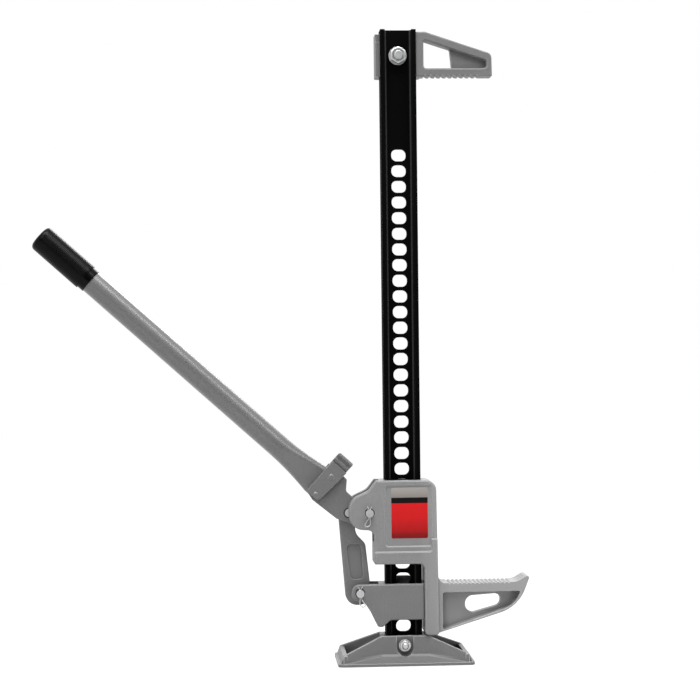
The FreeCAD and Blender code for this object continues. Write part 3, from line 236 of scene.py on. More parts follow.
def add_lamp(name, position, aim, long_axis, long_side, short_side, watts):
    data = bpy.data.lights.new(name, "AREA")
    data.shape = "RECTANGLE"
    data.size = long_side
    data.size_y = short_side
    data.energy = watts
    lamp = bpy.data.objects.new(name, data)
    back = (Vector(position) - Vector(aim)).normalized()
    along = (long_axis - back * long_axis.dot(back)).normalized()
    turn = Matrix((along, back.cross(along), back)).transposed()
    lamp.matrix_world = Matrix.Translation(position) @ turn.to_4x4()
    bpy.context.scene.collection.objects.link(lamp)


for lamp_name, settings in LAMPS.items():
    add_lamp(lamp_name, **settings)
print("lamps", ", ".join(LAMPS))

# %% [markdown]
# ## Finishes
# Every finish is a node tree on the surface's own coordinates. Painted metal is never an even colour:
# a broad cloud shifts the tone and a fine grain breaks up the gloss. Creases get painted shade and edges a painted
# highlight.

# %% Helpers for node trees: a finish and its noise
def new_finish(name, colour, metallic, roughness, specular=0.5):
    """A material with plain values, whose colour and roughness each finish then varies with nodes."""
    material = bpy.data.materials.new(name)
    material.use_nodes = True
    shader = material.node_tree.nodes["Principled BSDF"]
    shader.inputs["Base Color"].default_value = (*colour, 1.0)
    shader.inputs["Metallic"].default_value = metallic
    shader.inputs["Roughness"].default_value = roughness
    shader.inputs["Specular IOR Level"].default_value = specular
    return material, material.node_tree, shader


def object_noise(tree, per_metre, detail=4.0, stretch=(1.0, 1.0, 1.0)):
    """Noise on Object coordinates, with a given number of blotches to the metre."""
    coordinates = tree.nodes.new("ShaderNodeTexCoord")
    mapping = tree.nodes.new("ShaderNodeMapping")
    mapping.inputs["Scale"].default_value = stretch
    noise = tree.nodes.new("ShaderNodeTexNoise")
    noise.inputs["Scale"].default_value = per_metre
    noise.inputs["Detail"].default_value = detail
    tree.links.new(coordinates.outputs["Object"], mapping.inputs["Vector"])
    tree.links.new(mapping.outputs["Vector"], noise.inputs["Vector"])
    return noise.outputs["Fac"]


def object_axes(tree):
    """The X, Y and Z of the Object coordinates, as three outputs."""
    coordinates = tree.nodes.new("ShaderNodeTexCoord")
    split = tree.nodes.new("ShaderNodeSeparateXYZ")
    tree.links.new(coordinates.outputs["Object"], split.inputs["Vector"])
    return split.outputs


print("helpers for finishes and noise")

# %% [markdown]
# A noise is a number from zero to one that stays mostly near its middle. A range maps that middle to the
# tones or the gloss that are wanted, and a blend turns the number into a colour.

# %% Helpers for node trees: ranges, sums and blends
BLUE_CAST = 1.01


def spread(tree, value, low, high, from_low=0.3, from_high=0.7):
    """Maps a value, such as the middle of a noise, to the range low to high."""
    span = tree.nodes.new("ShaderNodeMapRange")
    span.inputs["From Min"].default_value = from_low
    span.inputs["From Max"].default_value = from_high
    span.inputs["To Min"].default_value = low
    span.inputs["To Max"].default_value = high
    tree.links.new(value, span.inputs["Value"])
    return span.outputs["Result"]


def calculate(tree, operation, first, second=None):
    """One step of arithmetic on numbers or outputs of the tree."""
    node = tree.nodes.new("ShaderNodeMath")
    node.operation = operation
    for socket, value in zip(node.inputs, (first, second)):
        if isinstance(value, (int, float)):
            socket.default_value = value
        elif value is not None:
            tree.links.new(value, socket)
    return node.outputs[0]


def grey_of(level):
    """A grey with a faint cast of blue."""
    return (level, level, level * BLUE_CAST)


def mixed(tree, factor, first, second):
    """Blends two colours, each a triple or an output of the tree."""
    mix = tree.nodes.new("ShaderNodeMix")
    mix.data_type = "RGBA"
    for socket, colour in (("A", first), ("B", second)):
        target = next(s for s in mix.inputs if s.name == socket and s.type == "RGBA")
        if isinstance(colour, tuple):
            target.default_value = (*colour, 1.0)
        else:
            tree.links.new(colour, target)
    tree.links.new(factor, next(s for s in mix.inputs if s.name == "Factor" and s.type == "VALUE"))
    return next(s for s in mix.outputs if s.type == "RGBA")


print("helpers for ranges, sums and blends")

# %% [markdown]
# Edges are painted lighter, as a painted highlight, and corners darker, as painted shade. A Bevel node bends
# the normal near an edge, so an edge is where it leaves the true normal. Ambient Occlusion within one solid finds
# the corners.
# Masks could be painted by hand too, but these two follow every change of the solids by themselves.

# %% Helpers for node trees: edges, corners and bumps
BEVEL_SAMPLES = 6
SHADE_SAMPLES = 8
EDGE_COSINES = (0.8, 0.975)


def rounded_normal(tree, radius):
    """The normal of the surface, bent near its edges as if they were rounded."""
    bevel = tree.nodes.new("ShaderNodeBevel")
    bevel.samples = BEVEL_SAMPLES
    bevel.inputs["Radius"].default_value = radius
    return bevel.outputs["Normal"]


def edge_mask(tree, normal):
    """One where the rounded normal leaves the true normal: along the edges."""
    true = tree.nodes.new("ShaderNodeNewGeometry").outputs["True Normal"]
    dot = tree.nodes.new("ShaderNodeVectorMath")
    dot.operation = "DOT_PRODUCT"
    tree.links.new(normal, dot.inputs[0])
    tree.links.new(true, dot.inputs[1])
    return spread(tree, dot.outputs["Value"], 1.0, 0.0, *EDGE_COSINES)


def occlusion_shade_mask(tree, reach):
    """One in the open and less in corners, within one solid: it says where the painted shade goes."""
    shade = tree.nodes.new("ShaderNodeAmbientOcclusion")
    shade.samples = SHADE_SAMPLES
    shade.only_local = True
    shade.inputs["Distance"].default_value = reach
    return shade.outputs["AO"]


def bumped(tree, shader, normal, layers):
    """Stacks bump layers, each a height and a depth in metres, on a normal or, with none, on the surface."""
    for height, depth in layers:
        bump = tree.nodes.new("ShaderNodeBump")
        bump.inputs["Distance"].default_value = depth
        tree.links.new(height, bump.inputs["Height"])
        if normal:
            tree.links.new(normal, bump.inputs["Normal"])
        normal = bump.outputs["Normal"]
    tree.links.new(normal, shader.inputs["Normal"])


print("helpers for edges, corners and bumps")

# %% [markdown]
# A painted shadow lies round the pins of the castings and in the recess round the foot's bolt, and the lifting
# nose is painted lighter as painted light.
# Both are masks on Object coordinates: one grows along X, the other falls off with the distance to a pin.

# %% Where the castings get painted light and painted shadow
# painted light: the nose is painted lighter between these two places along X
NOSE_LIGHT_START = 18.0 * MM
NOSE_LIGHT_FULL = 60.0 * MM
# painted shadow round the pins: its grey and its soft rim
PIN_SHADOW_GREY = 0.004
PIN_SHADOW_BLUR = 0.35 * MM


def nose_light_mask(tree):
    """Nothing at the bar, and one on the lifting nose, which is painted lighter as painted light."""
    return spread(tree, object_axes(tree)["X"], 0.0, 1.0, NOSE_LIGHT_START, NOSE_LIGHT_FULL)


def pin_shadow_mask(tree, x, z, radius, blur):
    """One within a radius of a pin's axis, which lies along Y."""
    axes = object_axes(tree)
    across = calculate(tree, "POWER", calculate(tree, "SUBTRACT", axes["X"], x), 2.0)
    up = calculate(tree, "POWER", calculate(tree, "SUBTRACT", axes["Z"], z), 2.0)
    reach = calculate(tree, "SQRT", calculate(tree, "ADD", across, up))
    return spread(tree, reach, 1.0, 0.0, radius - blur, radius + blur)


def bore_of(pin, shift, radius, blur=PIN_SHADOW_BLUR, shadow_grey=PIN_SHADOW_GREY):
    """Where a painted shadow lies round a pin: its axis, moved sideways, a radius with a soft rim, and a grey."""
    low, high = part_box(pin)
    return ((low.x + high.x) / 2 + shift, (low.z + high.z) / 2, radius, blur), shadow_grey


# painted shadow round each pin, and painted shade in the recess round the foot's bolt
BORES = {
    "large_runner": bore_of("handle_pivot_pin", shift=0.7 * MM, radius=6.2 * MM),
    "small_runner": bore_of("link_foot_pin", shift=0.5 * MM, radius=6.2 * MM),
    "handle_socket": bore_of("crank_pin", shift=-0.3 * MM, radius=6.7 * MM),
    "base_plate": bore_of("base_bolt", shift=0.0, radius=10.5 * MM, blur=3.0 * MM, shadow_grey=0.07),
}
print("grease round the pins of", ", ".join(BORES))

# %% [markdown]
# The castings are sprayed with a silver-grey enamel. Under it the sand of the mould still shows as a fine
# grain, and the ground faces keep faint upright scratches. Each of these is a noise of its own size, given as
# blotches to the metre, and lightens or darkens the grey by a factor.

# %% Grey enamel on cast metal
CAST_GREY = 0.27
CAST_ROUGHNESS = (0.36, 0.5)
EDGE_RADIUS = 1.0 * MM
# painted highlight: edges are painted lighter by this factor, up to the limit
EDGE_HIGHLIGHT = 2.8
EDGE_HIGHLIGHT_LIMIT = 0.85
# painted light: how much lighter the nose is painted
NOSE_LIGHT = 1.35
CAST_CLOUDS = 26.0
CLOUD_TONES = (0.93, 1.06)
CAST_SCRATCHES = 900.0
UPRIGHT = (1.0, 1.0, 0.05)
SCRATCH_TONE, SCRATCH_SHARE = 1.25, 0.3
CAST_SPECKLES = 620.0
SPECKLE_TONE, SPECKLE_SHARE = 0.78, 0.5
# painted shade: corners and creases within this reach are painted darker
SHADE_REACH = 12.0 * MM
SHADE_SPAN = (0.3, 0.85)
PAINTED_SHADE_TONE, PAINTED_SHADE_SHARE = 0.35, 0.42
CAST_PITS, PIT_DEPTH = 280.0, 0.1 * MM
CAST_GRAIN, GRAIN_DEPTH = 1100.0, 0.04 * MM


def cast_enamel(name, grey, highlight=EDGE_HIGHLIGHT, edge=EDGE_RADIUS, lit=None, bore=None):
    """Enamel of one grey, with a painted highlight along its edges and painted shade in its corners; a mask may
    paint parts lighter as painted light, and bore says where a painted shadow lies round a pin.
    """
    material, tree, shader = new_finish(name, grey_of(grey), metallic=0.0, roughness=0.42, specular=0.42)
    cloud = object_noise(tree, CAST_CLOUDS)
    pits = object_noise(tree, CAST_PITS, detail=3.0)
    grain = object_noise(tree, CAST_GRAIN, detail=2.0)
    speckle = object_noise(tree, CAST_SPECKLES, detail=1.0)
    scratch = object_noise(tree, CAST_SCRATCHES, detail=3.0, stretch=UPRIGHT)
    dull, fair = (grey_of(grey * share) for share in CLOUD_TONES)
    tone = mixed(tree, spread(tree, cloud, 0.0, 1.0), dull, fair)
    tone = mixed(tree, spread(tree, scratch, 0.0, SCRATCH_SHARE), tone, grey_of(grey * SCRATCH_TONE))
    tone = mixed(tree, spread(tree, speckle, 0.0, SPECKLE_SHARE), tone, grey_of(grey * SPECKLE_TONE))
    # painted light on the lifting nose
    if lit:
        tone = mixed(tree, lit(tree), tone, grey_of(grey * NOSE_LIGHT))
    normal = rounded_normal(tree, edge)
    # painted highlight along every edge, concave ones too
    tone = mixed(tree, edge_mask(tree, normal), tone, grey_of(min(grey * highlight, EDGE_HIGHLIGHT_LIMIT)))
    # painted shade in corners and creases
    painted_shade = spread(tree, occlusion_shade_mask(tree, SHADE_REACH), PAINTED_SHADE_SHARE, 0.0, *SHADE_SPAN)
    tone = mixed(tree, painted_shade, tone, grey_of(grey * PAINTED_SHADE_TONE))
    # painted shadow round a pin
    if bore:
        place, shadow_grey = bore
        tone = mixed(tree, pin_shadow_mask(tree, *place), tone, grey_of(shadow_grey))
    tree.links.new(tone, shader.inputs["Base Color"])
    tree.links.new(spread(tree, pits, *CAST_ROUGHNESS), shader.inputs["Roughness"])
    bumped(tree, shader, normal, [(pits, PIT_DEPTH), (grain, GRAIN_DEPTH)])
    return material


FINISHES = {"cast_grey": cast_enamel("cast_enamel", CAST_GREY)}
print("enamel for the castings")

# %% [markdown]
# The tube is drawn steel, so its paint is smoother and glossier. One roughness gives either a broad sheen or
# a clean streak. A clear coat over a softer ground gives both.

# %% Enamel on the tube
TUBE_GREY = 0.12
TUBE_ROUGHNESS = (0.49, 0.52)
COAT_ROUGHNESS = 0.28
TUBE_CLOUDS = 30.0
TUBE_CLOUD_TONES = (0.95, 1.05)
TUBE_PEEL = 420.0


def tube_enamel(name, grey):
    material, tree, shader = new_finish(name, grey_of(grey), metallic=0.0, roughness=0.5, specular=0.5)
    shader.inputs["Coat Weight"].default_value = 1.0
    shader.inputs["Coat Roughness"].default_value = COAT_ROUGHNESS
    cloud = object_noise(tree, TUBE_CLOUDS)
    peel = object_noise(tree, TUBE_PEEL, detail=1.0)
    dull, fair = (grey_of(grey * share) for share in TUBE_CLOUD_TONES)
    tone = mixed(tree, spread(tree, cloud, 0.0, 1.0), dull, fair)
    tree.links.new(tone, shader.inputs["Base Color"])
    tree.links.new(spread(tree, peel, *TUBE_ROUGHNESS), shader.inputs["Roughness"])
    return material


FINISHES["tube_grey"] = tube_enamel("tube_enamel", TUBE_GREY)
print("enamel for the tube")

# %% [markdown]
# The bar is dipped in a black lacquer that is slightly uneven along its length. Its edges and its long rolled
# corners get a painted highlight of lighter grey. The rolled corners are too round for a Bevel node to find.
# They are where the surface faces as much to the side as to the front, so the product of the two parts of the
# normal marks them.

# %% Black lacquer on the bar
BAR_GREY = 0.0015
BAR_TONES = (0.001, 0.002)
BAR_ROUGHNESS = (0.66, 0.78)
BAR_STREAKS = 60.0
LENGTHWISE = (1.0, 1.0, 0.15)
BAR_PEEL, PEEL_DEPTH = 600.0, 0.02 * MM
BAR_EDGE_RADIUS = 0.9 * MM
# painted highlights: greys for the bar's edges and rolled corners
BAR_EDGE_HIGHLIGHT = 0.02
BAR_CORNER_HIGHLIGHT = 0.04
BAR_CORNER_SPAN = (0.3, 0.48)


def rolled_corner_mask(tree):
    """One on the bar's long rounded corners, where the surface faces between X and Y."""
    split = tree.nodes.new("ShaderNodeSeparateXYZ")
    facing = tree.nodes.new("ShaderNodeNewGeometry").outputs["Normal"]
    tree.links.new(facing, split.inputs["Vector"])
    both = calculate(tree, "MULTIPLY", split.outputs["X"], split.outputs["Y"])
    return spread(tree, calculate(tree, "ABSOLUTE", both), 0.0, 1.0, *BAR_CORNER_SPAN)


def black_lacquer(name):
    material, tree, shader = new_finish(name, grey_of(BAR_GREY), metallic=0.0, roughness=0.7, specular=0.025)
    streak = object_noise(tree, BAR_STREAKS, stretch=LENGTHWISE)
    peel = object_noise(tree, BAR_PEEL, detail=2.0)
    normal = rounded_normal(tree, BAR_EDGE_RADIUS)
    deep, thin = (grey_of(level) for level in BAR_TONES)
    tone = mixed(tree, spread(tree, streak, 0.0, 1.0), deep, thin)
    # painted highlights on the edges and the rolled corners
    tone = mixed(tree, edge_mask(tree, normal), tone, grey_of(BAR_EDGE_HIGHLIGHT))
    tone = mixed(tree, rolled_corner_mask(tree), tone, grey_of(BAR_CORNER_HIGHLIGHT))
    tree.links.new(tone, shader.inputs["Base Color"])
    tree.links.new(spread(tree, streak, *BAR_ROUGHNESS), shader.inputs["Roughness"])
    bumped(tree, shader, normal, [(peel, PEEL_DEPTH)])
    return material


FINISHES["bar_black"] = black_lacquer("black_lacquer")
print("lacquer for the bar")

# %% [markdown]
# The grip is moulded in a smooth black rubber, glossy where the hand has polished it and dusty elsewhere.
# One noise drives both the tone and the gloss, so the dusty spots are also the dull ones.

# %% Rubber for the grip
RUBBER_GREY = 0.002
RUBBER_TONES = (0.0012, 0.0025)
RUBBER_ROUGHNESS = (0.21, 0.27)
RUBBER_DUST = 140.0
RUBBER_GRAIN, RUBBER_GRAIN_DEPTH = 900.0, 0.01 * MM


def grip_rubber(name):
    grey = grey_of(RUBBER_GREY)
    material, tree, shader = new_finish(name, grey, metallic=0.0, roughness=0.24, specular=0.1)
    dust = object_noise(tree, RUBBER_DUST)
    clean, dusty = (grey_of(level) for level in RUBBER_TONES)
    tone = mixed(tree, spread(tree, dust, 0.0, 1.0), clean, dusty)
    tree.links.new(tone, shader.inputs["Base Color"])
    tree.links.new(spread(tree, dust, *RUBBER_ROUGHNESS), shader.inputs["Roughness"])
    bumped(tree, shader, None, [(object_noise(tree, RUBBER_GRAIN), RUBBER_GRAIN_DEPTH)])
    return material


FINISHES["grip_black"] = grip_rubber("grip_rubber")
print("rubber for the grip")

# %% [markdown]
# Bolts, pins and washers are zinc plated: a bright, slightly cloudy metal, with painted shade darkening its
# threads and corners.
# Spring wire is darker and oily. One function makes both, from their silver and their gloss.

# %% Zinc and spring steel
ZINC = (0.66, 0.665, 0.67)
SPRING_STEEL = (0.42, 0.42, 0.43)
PLATE_BLOOM = 130.0
PLATE_GLOSS_SWING = 0.06
PLATE_SCRATCHES, PLATE_SCRATCH_DEPTH = 800.0, 0.01 * MM
ALONG_PIN = (1.0, 0.2, 1.0)
PLATE_EDGE_RADIUS = 0.5 * MM
# painted shade: threads and corners within this reach are painted darker
PLATE_SHADE_REACH = 4.0 * MM
PLATE_SHADE_SPAN = (0.35, 0.9)
PLATE_SHADE_TONE, PLATE_SHADE_SHARE = 0.12, 0.85


def plated(name, silver, dullest, roughness):
    material, tree, shader = new_finish(name, silver, metallic=1.0, roughness=roughness)
    bloom = object_noise(tree, PLATE_BLOOM)
    scratch = object_noise(tree, PLATE_SCRATCHES, detail=2.0, stretch=ALONG_PIN)
    dull = tuple(c * dullest for c in silver)
    shade_colour = tuple(c * PLATE_SHADE_TONE for c in silver)
    tone = mixed(tree, spread(tree, bloom, 0.0, 1.0), dull, silver)
    # painted shade in threads and corners
    corner = occlusion_shade_mask(tree, PLATE_SHADE_REACH)
    tone = mixed(tree, spread(tree, corner, PLATE_SHADE_SHARE, 0.0, *PLATE_SHADE_SPAN), tone, shade_colour)
    gloss = spread(tree, bloom, roughness - PLATE_GLOSS_SWING, roughness + PLATE_GLOSS_SWING)
    tree.links.new(tone, shader.inputs["Base Color"])
    tree.links.new(gloss, shader.inputs["Roughness"])
    bumped(tree, shader, rounded_normal(tree, PLATE_EDGE_RADIUS), [(scratch, PLATE_SCRATCH_DEPTH)])
    return material


FINISHES["zinc_steel"] = plated("bright_zinc", ZINC, dullest=0.84, roughness=0.36)
FINISHES["spring_steel"] = plated("spring_steel", SPRING_STEEL, dullest=0.7, roughness=0.34)
print("finishes", ", ".join(FINISHES))

# %% [markdown]
# Each solid now gets its finish. The record names a slot for each. The castings share one slot, but each gets a
# tone
# of its own, read off the photograph: the big runner is the lightest. The tones are partly painted light: they
# also make up for the overhead lamp, which lights the upper castings more than the lower ones.

# %% Painting the solids
# each tone is partly painted light, evening out the overhead lamp from top to bottom
CAST_TONES = {
    "large_runner": 0.24,
    "small_runner": 0.182,
    "pitman_link": 0.165,
    "handle_socket": 0.152,
    "base_plate": 0.165,
    "top_clamp": 0.15,
}
# painted highlight: stronger on the edges of these castings
EDGE_HIGHLIGHTS = {"base_plate": 3.8, "large_runner": 3.4, "top_clamp": 4.5}
SOFT_EDGES = {"base_plate": 1.8 * MM}
# painted light on the nose of the large runner
LIT_PARTS = {"large_runner": nose_light_mask}
SLOT_OF = {part["node"]: part["material_slot"] for part in frame["record"]["subparts"]}
BODY_OF = {n: body for body, members in frame["record"]["behaviour"]["bodies"].items() for n in members}
for name, node in nodes.items():
    finish = FINISHES[SLOT_OF[name]]
    if name in CAST_TONES:
        finish = cast_enamel(
            f"cast_enamel_{name}", CAST_TONES[name], EDGE_HIGHLIGHTS.get(name, EDGE_HIGHLIGHT),
            SOFT_EDGES.get(name, EDGE_RADIUS), LIT_PARTS.get(name), BORES.get(name),
        )
    node.data.materials.clear()
    node.data.materials.append(finish)
print("painted", len(nodes), "solids,", len(CAST_TONES), "of them with a tone of their own")

# %% [markdown]
# ## Pieces that replace a solid
# A piece that replaces a solid stands where the solid does and moves with the same body. All the turned
# and drawn pieces are skins over a row of rings, so one helper builds them.

# %% Building a skin
def skin(rings):
    """A mesh over a row of rings of equal count; a ring of one point closes an end."""
    shape = bmesh.new()
    made = [[shape.verts.new(point) for point in ring] for ring in rings]
    for first, last in zip(made, made[1:]):
        count = max(len(first), len(last))
        for k in range(count):
            j = (k + 1) % count
            if len(first) == 1:
                shape.faces.new((first[0], last[k], last[j]))
            elif len(last) == 1:
                shape.faces.new((first[k], last[0], first[j]))
            else:
                shape.faces.new((first[k], last[k], last[j], first[j]))
    bmesh.ops.recalc_face_normals(shape, faces=shape.faces)
    mesh = bpy.data.meshes.new("skin")
    shape.to_mesh(mesh)
    shape.free()
    return mesh


def tip(x):
    """A ring of one point on local X."""
    return [(x, 0.0, 0.0)]


def circle(x, radius, around):
    """A ring about local X; with a radius of zero, its tip."""
    if radius == 0:
        return tip(x)
    angles = [2 * math.pi * k / around for k in range(around)]
    return [(x, radius * math.cos(a), radius * math.sin(a)) for a in angles]


def turned(stations, around=64):
    """A solid of revolution about local X, from stations of x and radius."""
    return skin([circle(x, radius, around) for x, radius in stations])


print("helpers for skins over rings")

# %% [markdown]
# A mesh that is made of parts is joined or merged, and then put in the scene at the origin, with its place in
# its points. Smooth shading that breaks above an angle keeps round sides round and rims crisp.

# %% Joining, merging and putting a piece in place
MERGE_WITHIN = 1e-6
SHARP_ABOVE = 35.0


def joined(*meshes):
    """One mesh from several."""
    shape = bmesh.new()
    for mesh in meshes:
        shape.from_mesh(mesh)
    result = bpy.data.meshes.new("joined")
    shape.to_mesh(result)
    shape.free()
    return result


def merged(mesh):
    """The mesh with doubled points made one and all faces turned outward."""
    shape = bmesh.new()
    shape.from_mesh(mesh)
    bmesh.ops.remove_doubles(shape, verts=shape.verts, dist=MERGE_WITHIN)
    bmesh.ops.recalc_face_normals(shape, faces=shape.faces)
    shape.to_mesh(mesh)
    shape.free()
    return mesh


def show(name, mesh, material):
    """Puts a mesh in the scene with one material."""
    mesh.materials.clear()
    mesh.materials.append(material)
    piece = bpy.data.objects.new(name, mesh)
    bpy.context.scene.collection.objects.link(piece)
    print(name, "has", len(mesh.polygons), "faces")
    return piece


def smooth(mesh, sharp_above=SHARP_ABOVE):
    """Smooth shading that breaks at edges sharper than an angle in degrees."""
    mesh.shade_smooth()
    mesh.set_sharp_from_angle(angle=math.radians(sharp_above))


def settle(name, mesh, replaced, sharp_above=SHARP_ABOVE):
    """Makes a mesh the visible form of a CAD solid."""
    smooth(mesh, sharp_above)
    piece = show(name, mesh, FINISHES[SLOT_OF[replaced]])
    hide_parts(replaced)
    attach(piece, BODY_OF[replaced])
    return piece


print("pieces break their shading above", SHARP_ABOVE, "degrees")

# %% [markdown]
# ## The handle tube
# The tube is round for most of its length, then pressed flat to fit between the cheeks of the socket.
# It is drawn along its own axis first and then turned into place, which keeps its rings simple.

# %% The handle's own axes
PIVOT = Vector(next(j["pos_m"] for j in frame["joints"] if j["name"] == "handle_pump"))
AXIS_OFFSET = 13.2 * MM
HANDLE_FRAME = (
    Matrix.Translation(PIVOT)
    @ Matrix.Rotation(HANDLE_ANGLE, 4, "Y")
    @ Matrix.Translation((0, 0, -AXIS_OFFSET))
)


def along_handle(solid):
    """First and last place of a solid along the tube, and its largest radius."""
    to_handle = HANDLE_FRAME.inverted() @ nodes[solid].matrix_world
    points = [to_handle @ vertex.co for vertex in nodes[solid].data.vertices]
    reach = [point.x for point in points]
    return min(reach), max(reach), max(math.hypot(point.y, point.z) for point in points)


GRIP_END, GRIP_MOUTH, GRIP_RADIUS = along_handle("handle_grip")
TUBE_END, TUBE_HEAD, _ = along_handle("handle_tube")
print("tube runs from", round(TUBE_END, 4), "to", round(TUBE_HEAD, 4))

# %% [markdown]
# The tube's section is a round-ended slot everywhere: as the ends of the slot shrink the flat sides grow.
# The press closes the depth with a smooth curve. The width opens as the square of the way into the press,
# slowly at first and fastest at the socket. A loft between a circle and a slot would open evenly instead.

# %% The tube, drawn round and pressed flat
TUBE_RADIUS = 15.0 * MM
TUBE_WALL = 2.5 * MM
FLAT_HALF_WIDTH = 20.8 * MM
FLAT_HALF_DEPTH = 7.4 * MM
FLARE_START = -150.0 * MM
FLAT_START = -88.0 * MM
SOCKET_MOUTH = -82.0 * MM
FLARE_STEPS = 28
SEAM = 0.3 * MM


def slot_ring(x, half_depth, half_width, around=24, side=6):
    """A ring shaped like a round-ended slot, with its flat sides divided evenly."""
    straight = half_width - half_depth
    upper = [math.pi * k / around for k in range(around + 1)]
    top = [(half_depth * math.cos(a), half_depth * math.sin(a) + straight) for a in upper]
    down = [(-half_depth, straight - 2 * straight * k / side) for k in range(1, side)]
    half = top + down
    return [(x, y, z) for y, z in half] + [(x, -y, -z) for y, z in half]


def way_from(first, last, x):
    """How far x has come from first to last, between zero and one."""
    return min(max((x - first) / (last - first), 0.0), 1.0)


def tube_ring(x, inset):
    """The tube's section at a place along it; the inset of a wall gives the inside."""
    pressed = way_from(FLARE_START, FLAT_START, x)
    closed = pressed * pressed * (3 - 2 * pressed)
    opened = way_from(FLARE_START, SOCKET_MOUTH, x) ** 2
    depth = TUBE_RADIUS + (FLAT_HALF_DEPTH - TUBE_RADIUS) * closed
    width = TUBE_RADIUS + (FLAT_HALF_WIDTH - TUBE_RADIUS) * opened + SEAM
    return slot_ring(x, depth - inset, width - inset)


def make_tube():
    flare = [FLARE_START + (SOCKET_MOUTH - FLARE_START) * k / FLARE_STEPS for k in range(FLARE_STEPS + 1)]
    places = [TUBE_END] + flare + [TUBE_HEAD]
    outside = [tube_ring(x, 0.0) for x in places]
    inside = [tube_ring(x, TUBE_WALL) for x in reversed(places)]
    mesh = merged(skin(outside + inside + outside[:1]))
    mesh.transform(HANDLE_FRAME)
    settle("flared_tube", mesh, "handle_tube")


make_tube()

# %% [markdown]
# ## The hook's rolled leaf
# The leaf on top of the socket is rolled into two beads, which stiffen it where it clips on to the bar.
# They stand on the front of the solid leaf as one skin: a wave runs up the leaf from key to key.

# %% The two beads of the leaf
LEAF_LEFT, LEAF_RIGHT = -81.7 * MM, -57.9 * MM
LEAF_CORNER = 2.2 * MM
LEAF_STEPS = 10
# keys in millimetres: height, then depth
LEAF_FRONT = [(32.9, -17.0), (37.2, -19.8), (41.0, -18.5), (44.6, -21.9), (47.4, -20.7)]
LEAF_BACK = [(32.9, -16.0), (40.0, -16.2), (47.4, -19.2)]


def eased(keys, height):
    """The depth at a height on a wave that rests at each key."""
    for (low, first), (high, last) in zip(keys, keys[1:]):
        if height <= high:
            way = (1 - math.cos(math.pi * (height - low) / (high - low))) / 2
            return first + (last - first) * way
    return keys[-1][1]


def leaf_heights():
    """Even steps from key to key, from the foot of the leaf to its rim."""
    heights = []
    for (low, _), (high, _) in zip(LEAF_FRONT, LEAF_FRONT[1:]):
        heights += [low + (high - low) * k / LEAF_STEPS for k in range(LEAF_STEPS)]
    return heights + [LEAF_FRONT[-1][0]]


def leaf_ring(height, rim):
    """Once round the leaf at a height; the sides draw in below the rim, which rounds its corners."""
    z = height * MM
    front, back = eased(LEAF_FRONT, height) * MM, eased(LEAF_BACK, height) * MM
    into_corner = way_from(rim * MM - LEAF_CORNER, rim * MM, z)
    inset = LEAF_CORNER * (1 - math.cos(math.asin(into_corner)))
    left, right = LEAF_LEFT + inset, LEAF_RIGHT - inset
    return [(left, front, z), (right, front, z), (right, back, z), (left, back, z)]


def middle_of(ring):
    """The middle of a ring, as a ring of one point."""
    return [tuple(sum(values) / len(ring) for values in zip(*ring))]


def make_leaf():
    heights = leaf_heights()
    rings = [leaf_ring(height, heights[-1]) for height in heights]
    mesh = skin([middle_of(rings[0])] + rings + [middle_of(rings[-1])])
    mesh.transform(HANDLE_FRAME)
    smooth(mesh)
    piece = show("rolled_leaf", mesh, nodes["handle_socket"].data.materials[0])
    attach(piece, BODY_OF["handle_socket"])


make_leaf()

# %% [markdown]
# ## The grip
# The grip is a moulded sleeve with a fine diamond knurl that stops short of both ends.
# The sleeve is turned from a profile. The knurl is a rule, so Geometry Nodes lay it:
# a grid of points is rolled into a cylinder, and a small blunt pyramid stands on each point.

# %% Helpers for Geometry Nodes
def new_tree(name, inputs):
    """A tree with geometry in and out and the named inputs, returned with its first and last node."""
    tree = bpy.data.node_groups.new(name, "GeometryNodeTree")
    tree.interface.new_socket("Geometry", in_out="INPUT", socket_type="NodeSocketGeometry")
    tree.interface.new_socket("Geometry", in_out="OUTPUT", socket_type="NodeSocketGeometry")
    for label, kind in inputs:
        tree.interface.new_socket(label, in_out="INPUT", socket_type=kind)
    return tree, tree.nodes.new("NodeGroupInput"), tree.nodes.new("NodeGroupOutput")


def finish_tree(tree, geometry, outputs, material):
    """Ends a tree: instances become real points and faces, and all of it gets one material."""
    realize = tree.nodes.new("GeometryNodeRealizeInstances")
    paint = tree.nodes.new("GeometryNodeSetMaterial")
    paint.inputs["Material"].default_value = material
    tree.links.new(geometry, realize.inputs["Geometry"])
    tree.links.new(realize.outputs["Geometry"], paint.inputs["Geometry"])
    tree.links.new(paint.outputs["Geometry"], outputs.inputs["Geometry"])


def run_tree(tree, values, given=None):
    """Sets a tree's inputs by identifier, evaluates it and returns the result as a plain mesh."""
    holder = bpy.data.objects.new("holder", given or bpy.data.meshes.new("holder"))
    bpy.context.scene.collection.objects.link(holder)
    modifier = holder.modifiers.new("tree", "NODES")
    modifier.node_group = tree
    for item in tree.interface.items_tree:
        if item.in_out == "INPUT" and item.name in values:
            modifier[item.identifier] = values[item.name]
    graph = bpy.context.evaluated_depsgraph_get()
    mesh = bpy.data.meshes.new_from_object(holder.evaluated_get(graph))
    holder.modifiers.remove(modifier)
    bpy.data.objects.remove(holder)
    return mesh


print("helpers for trees of nodes")

# %% [markdown]
# The grid lies flat, with X along the grip and Y as the angle round it, in radians. Sine and cosine of that
# angle roll it up, and the same two, kept as an attribute, tell each tooth which way is outward.

# %% The knurl, as a tree of nodes
TOOTH_SIDES = 4
TOOTH_FOOT = 0.66
TOOTH_CROWN = 0.3


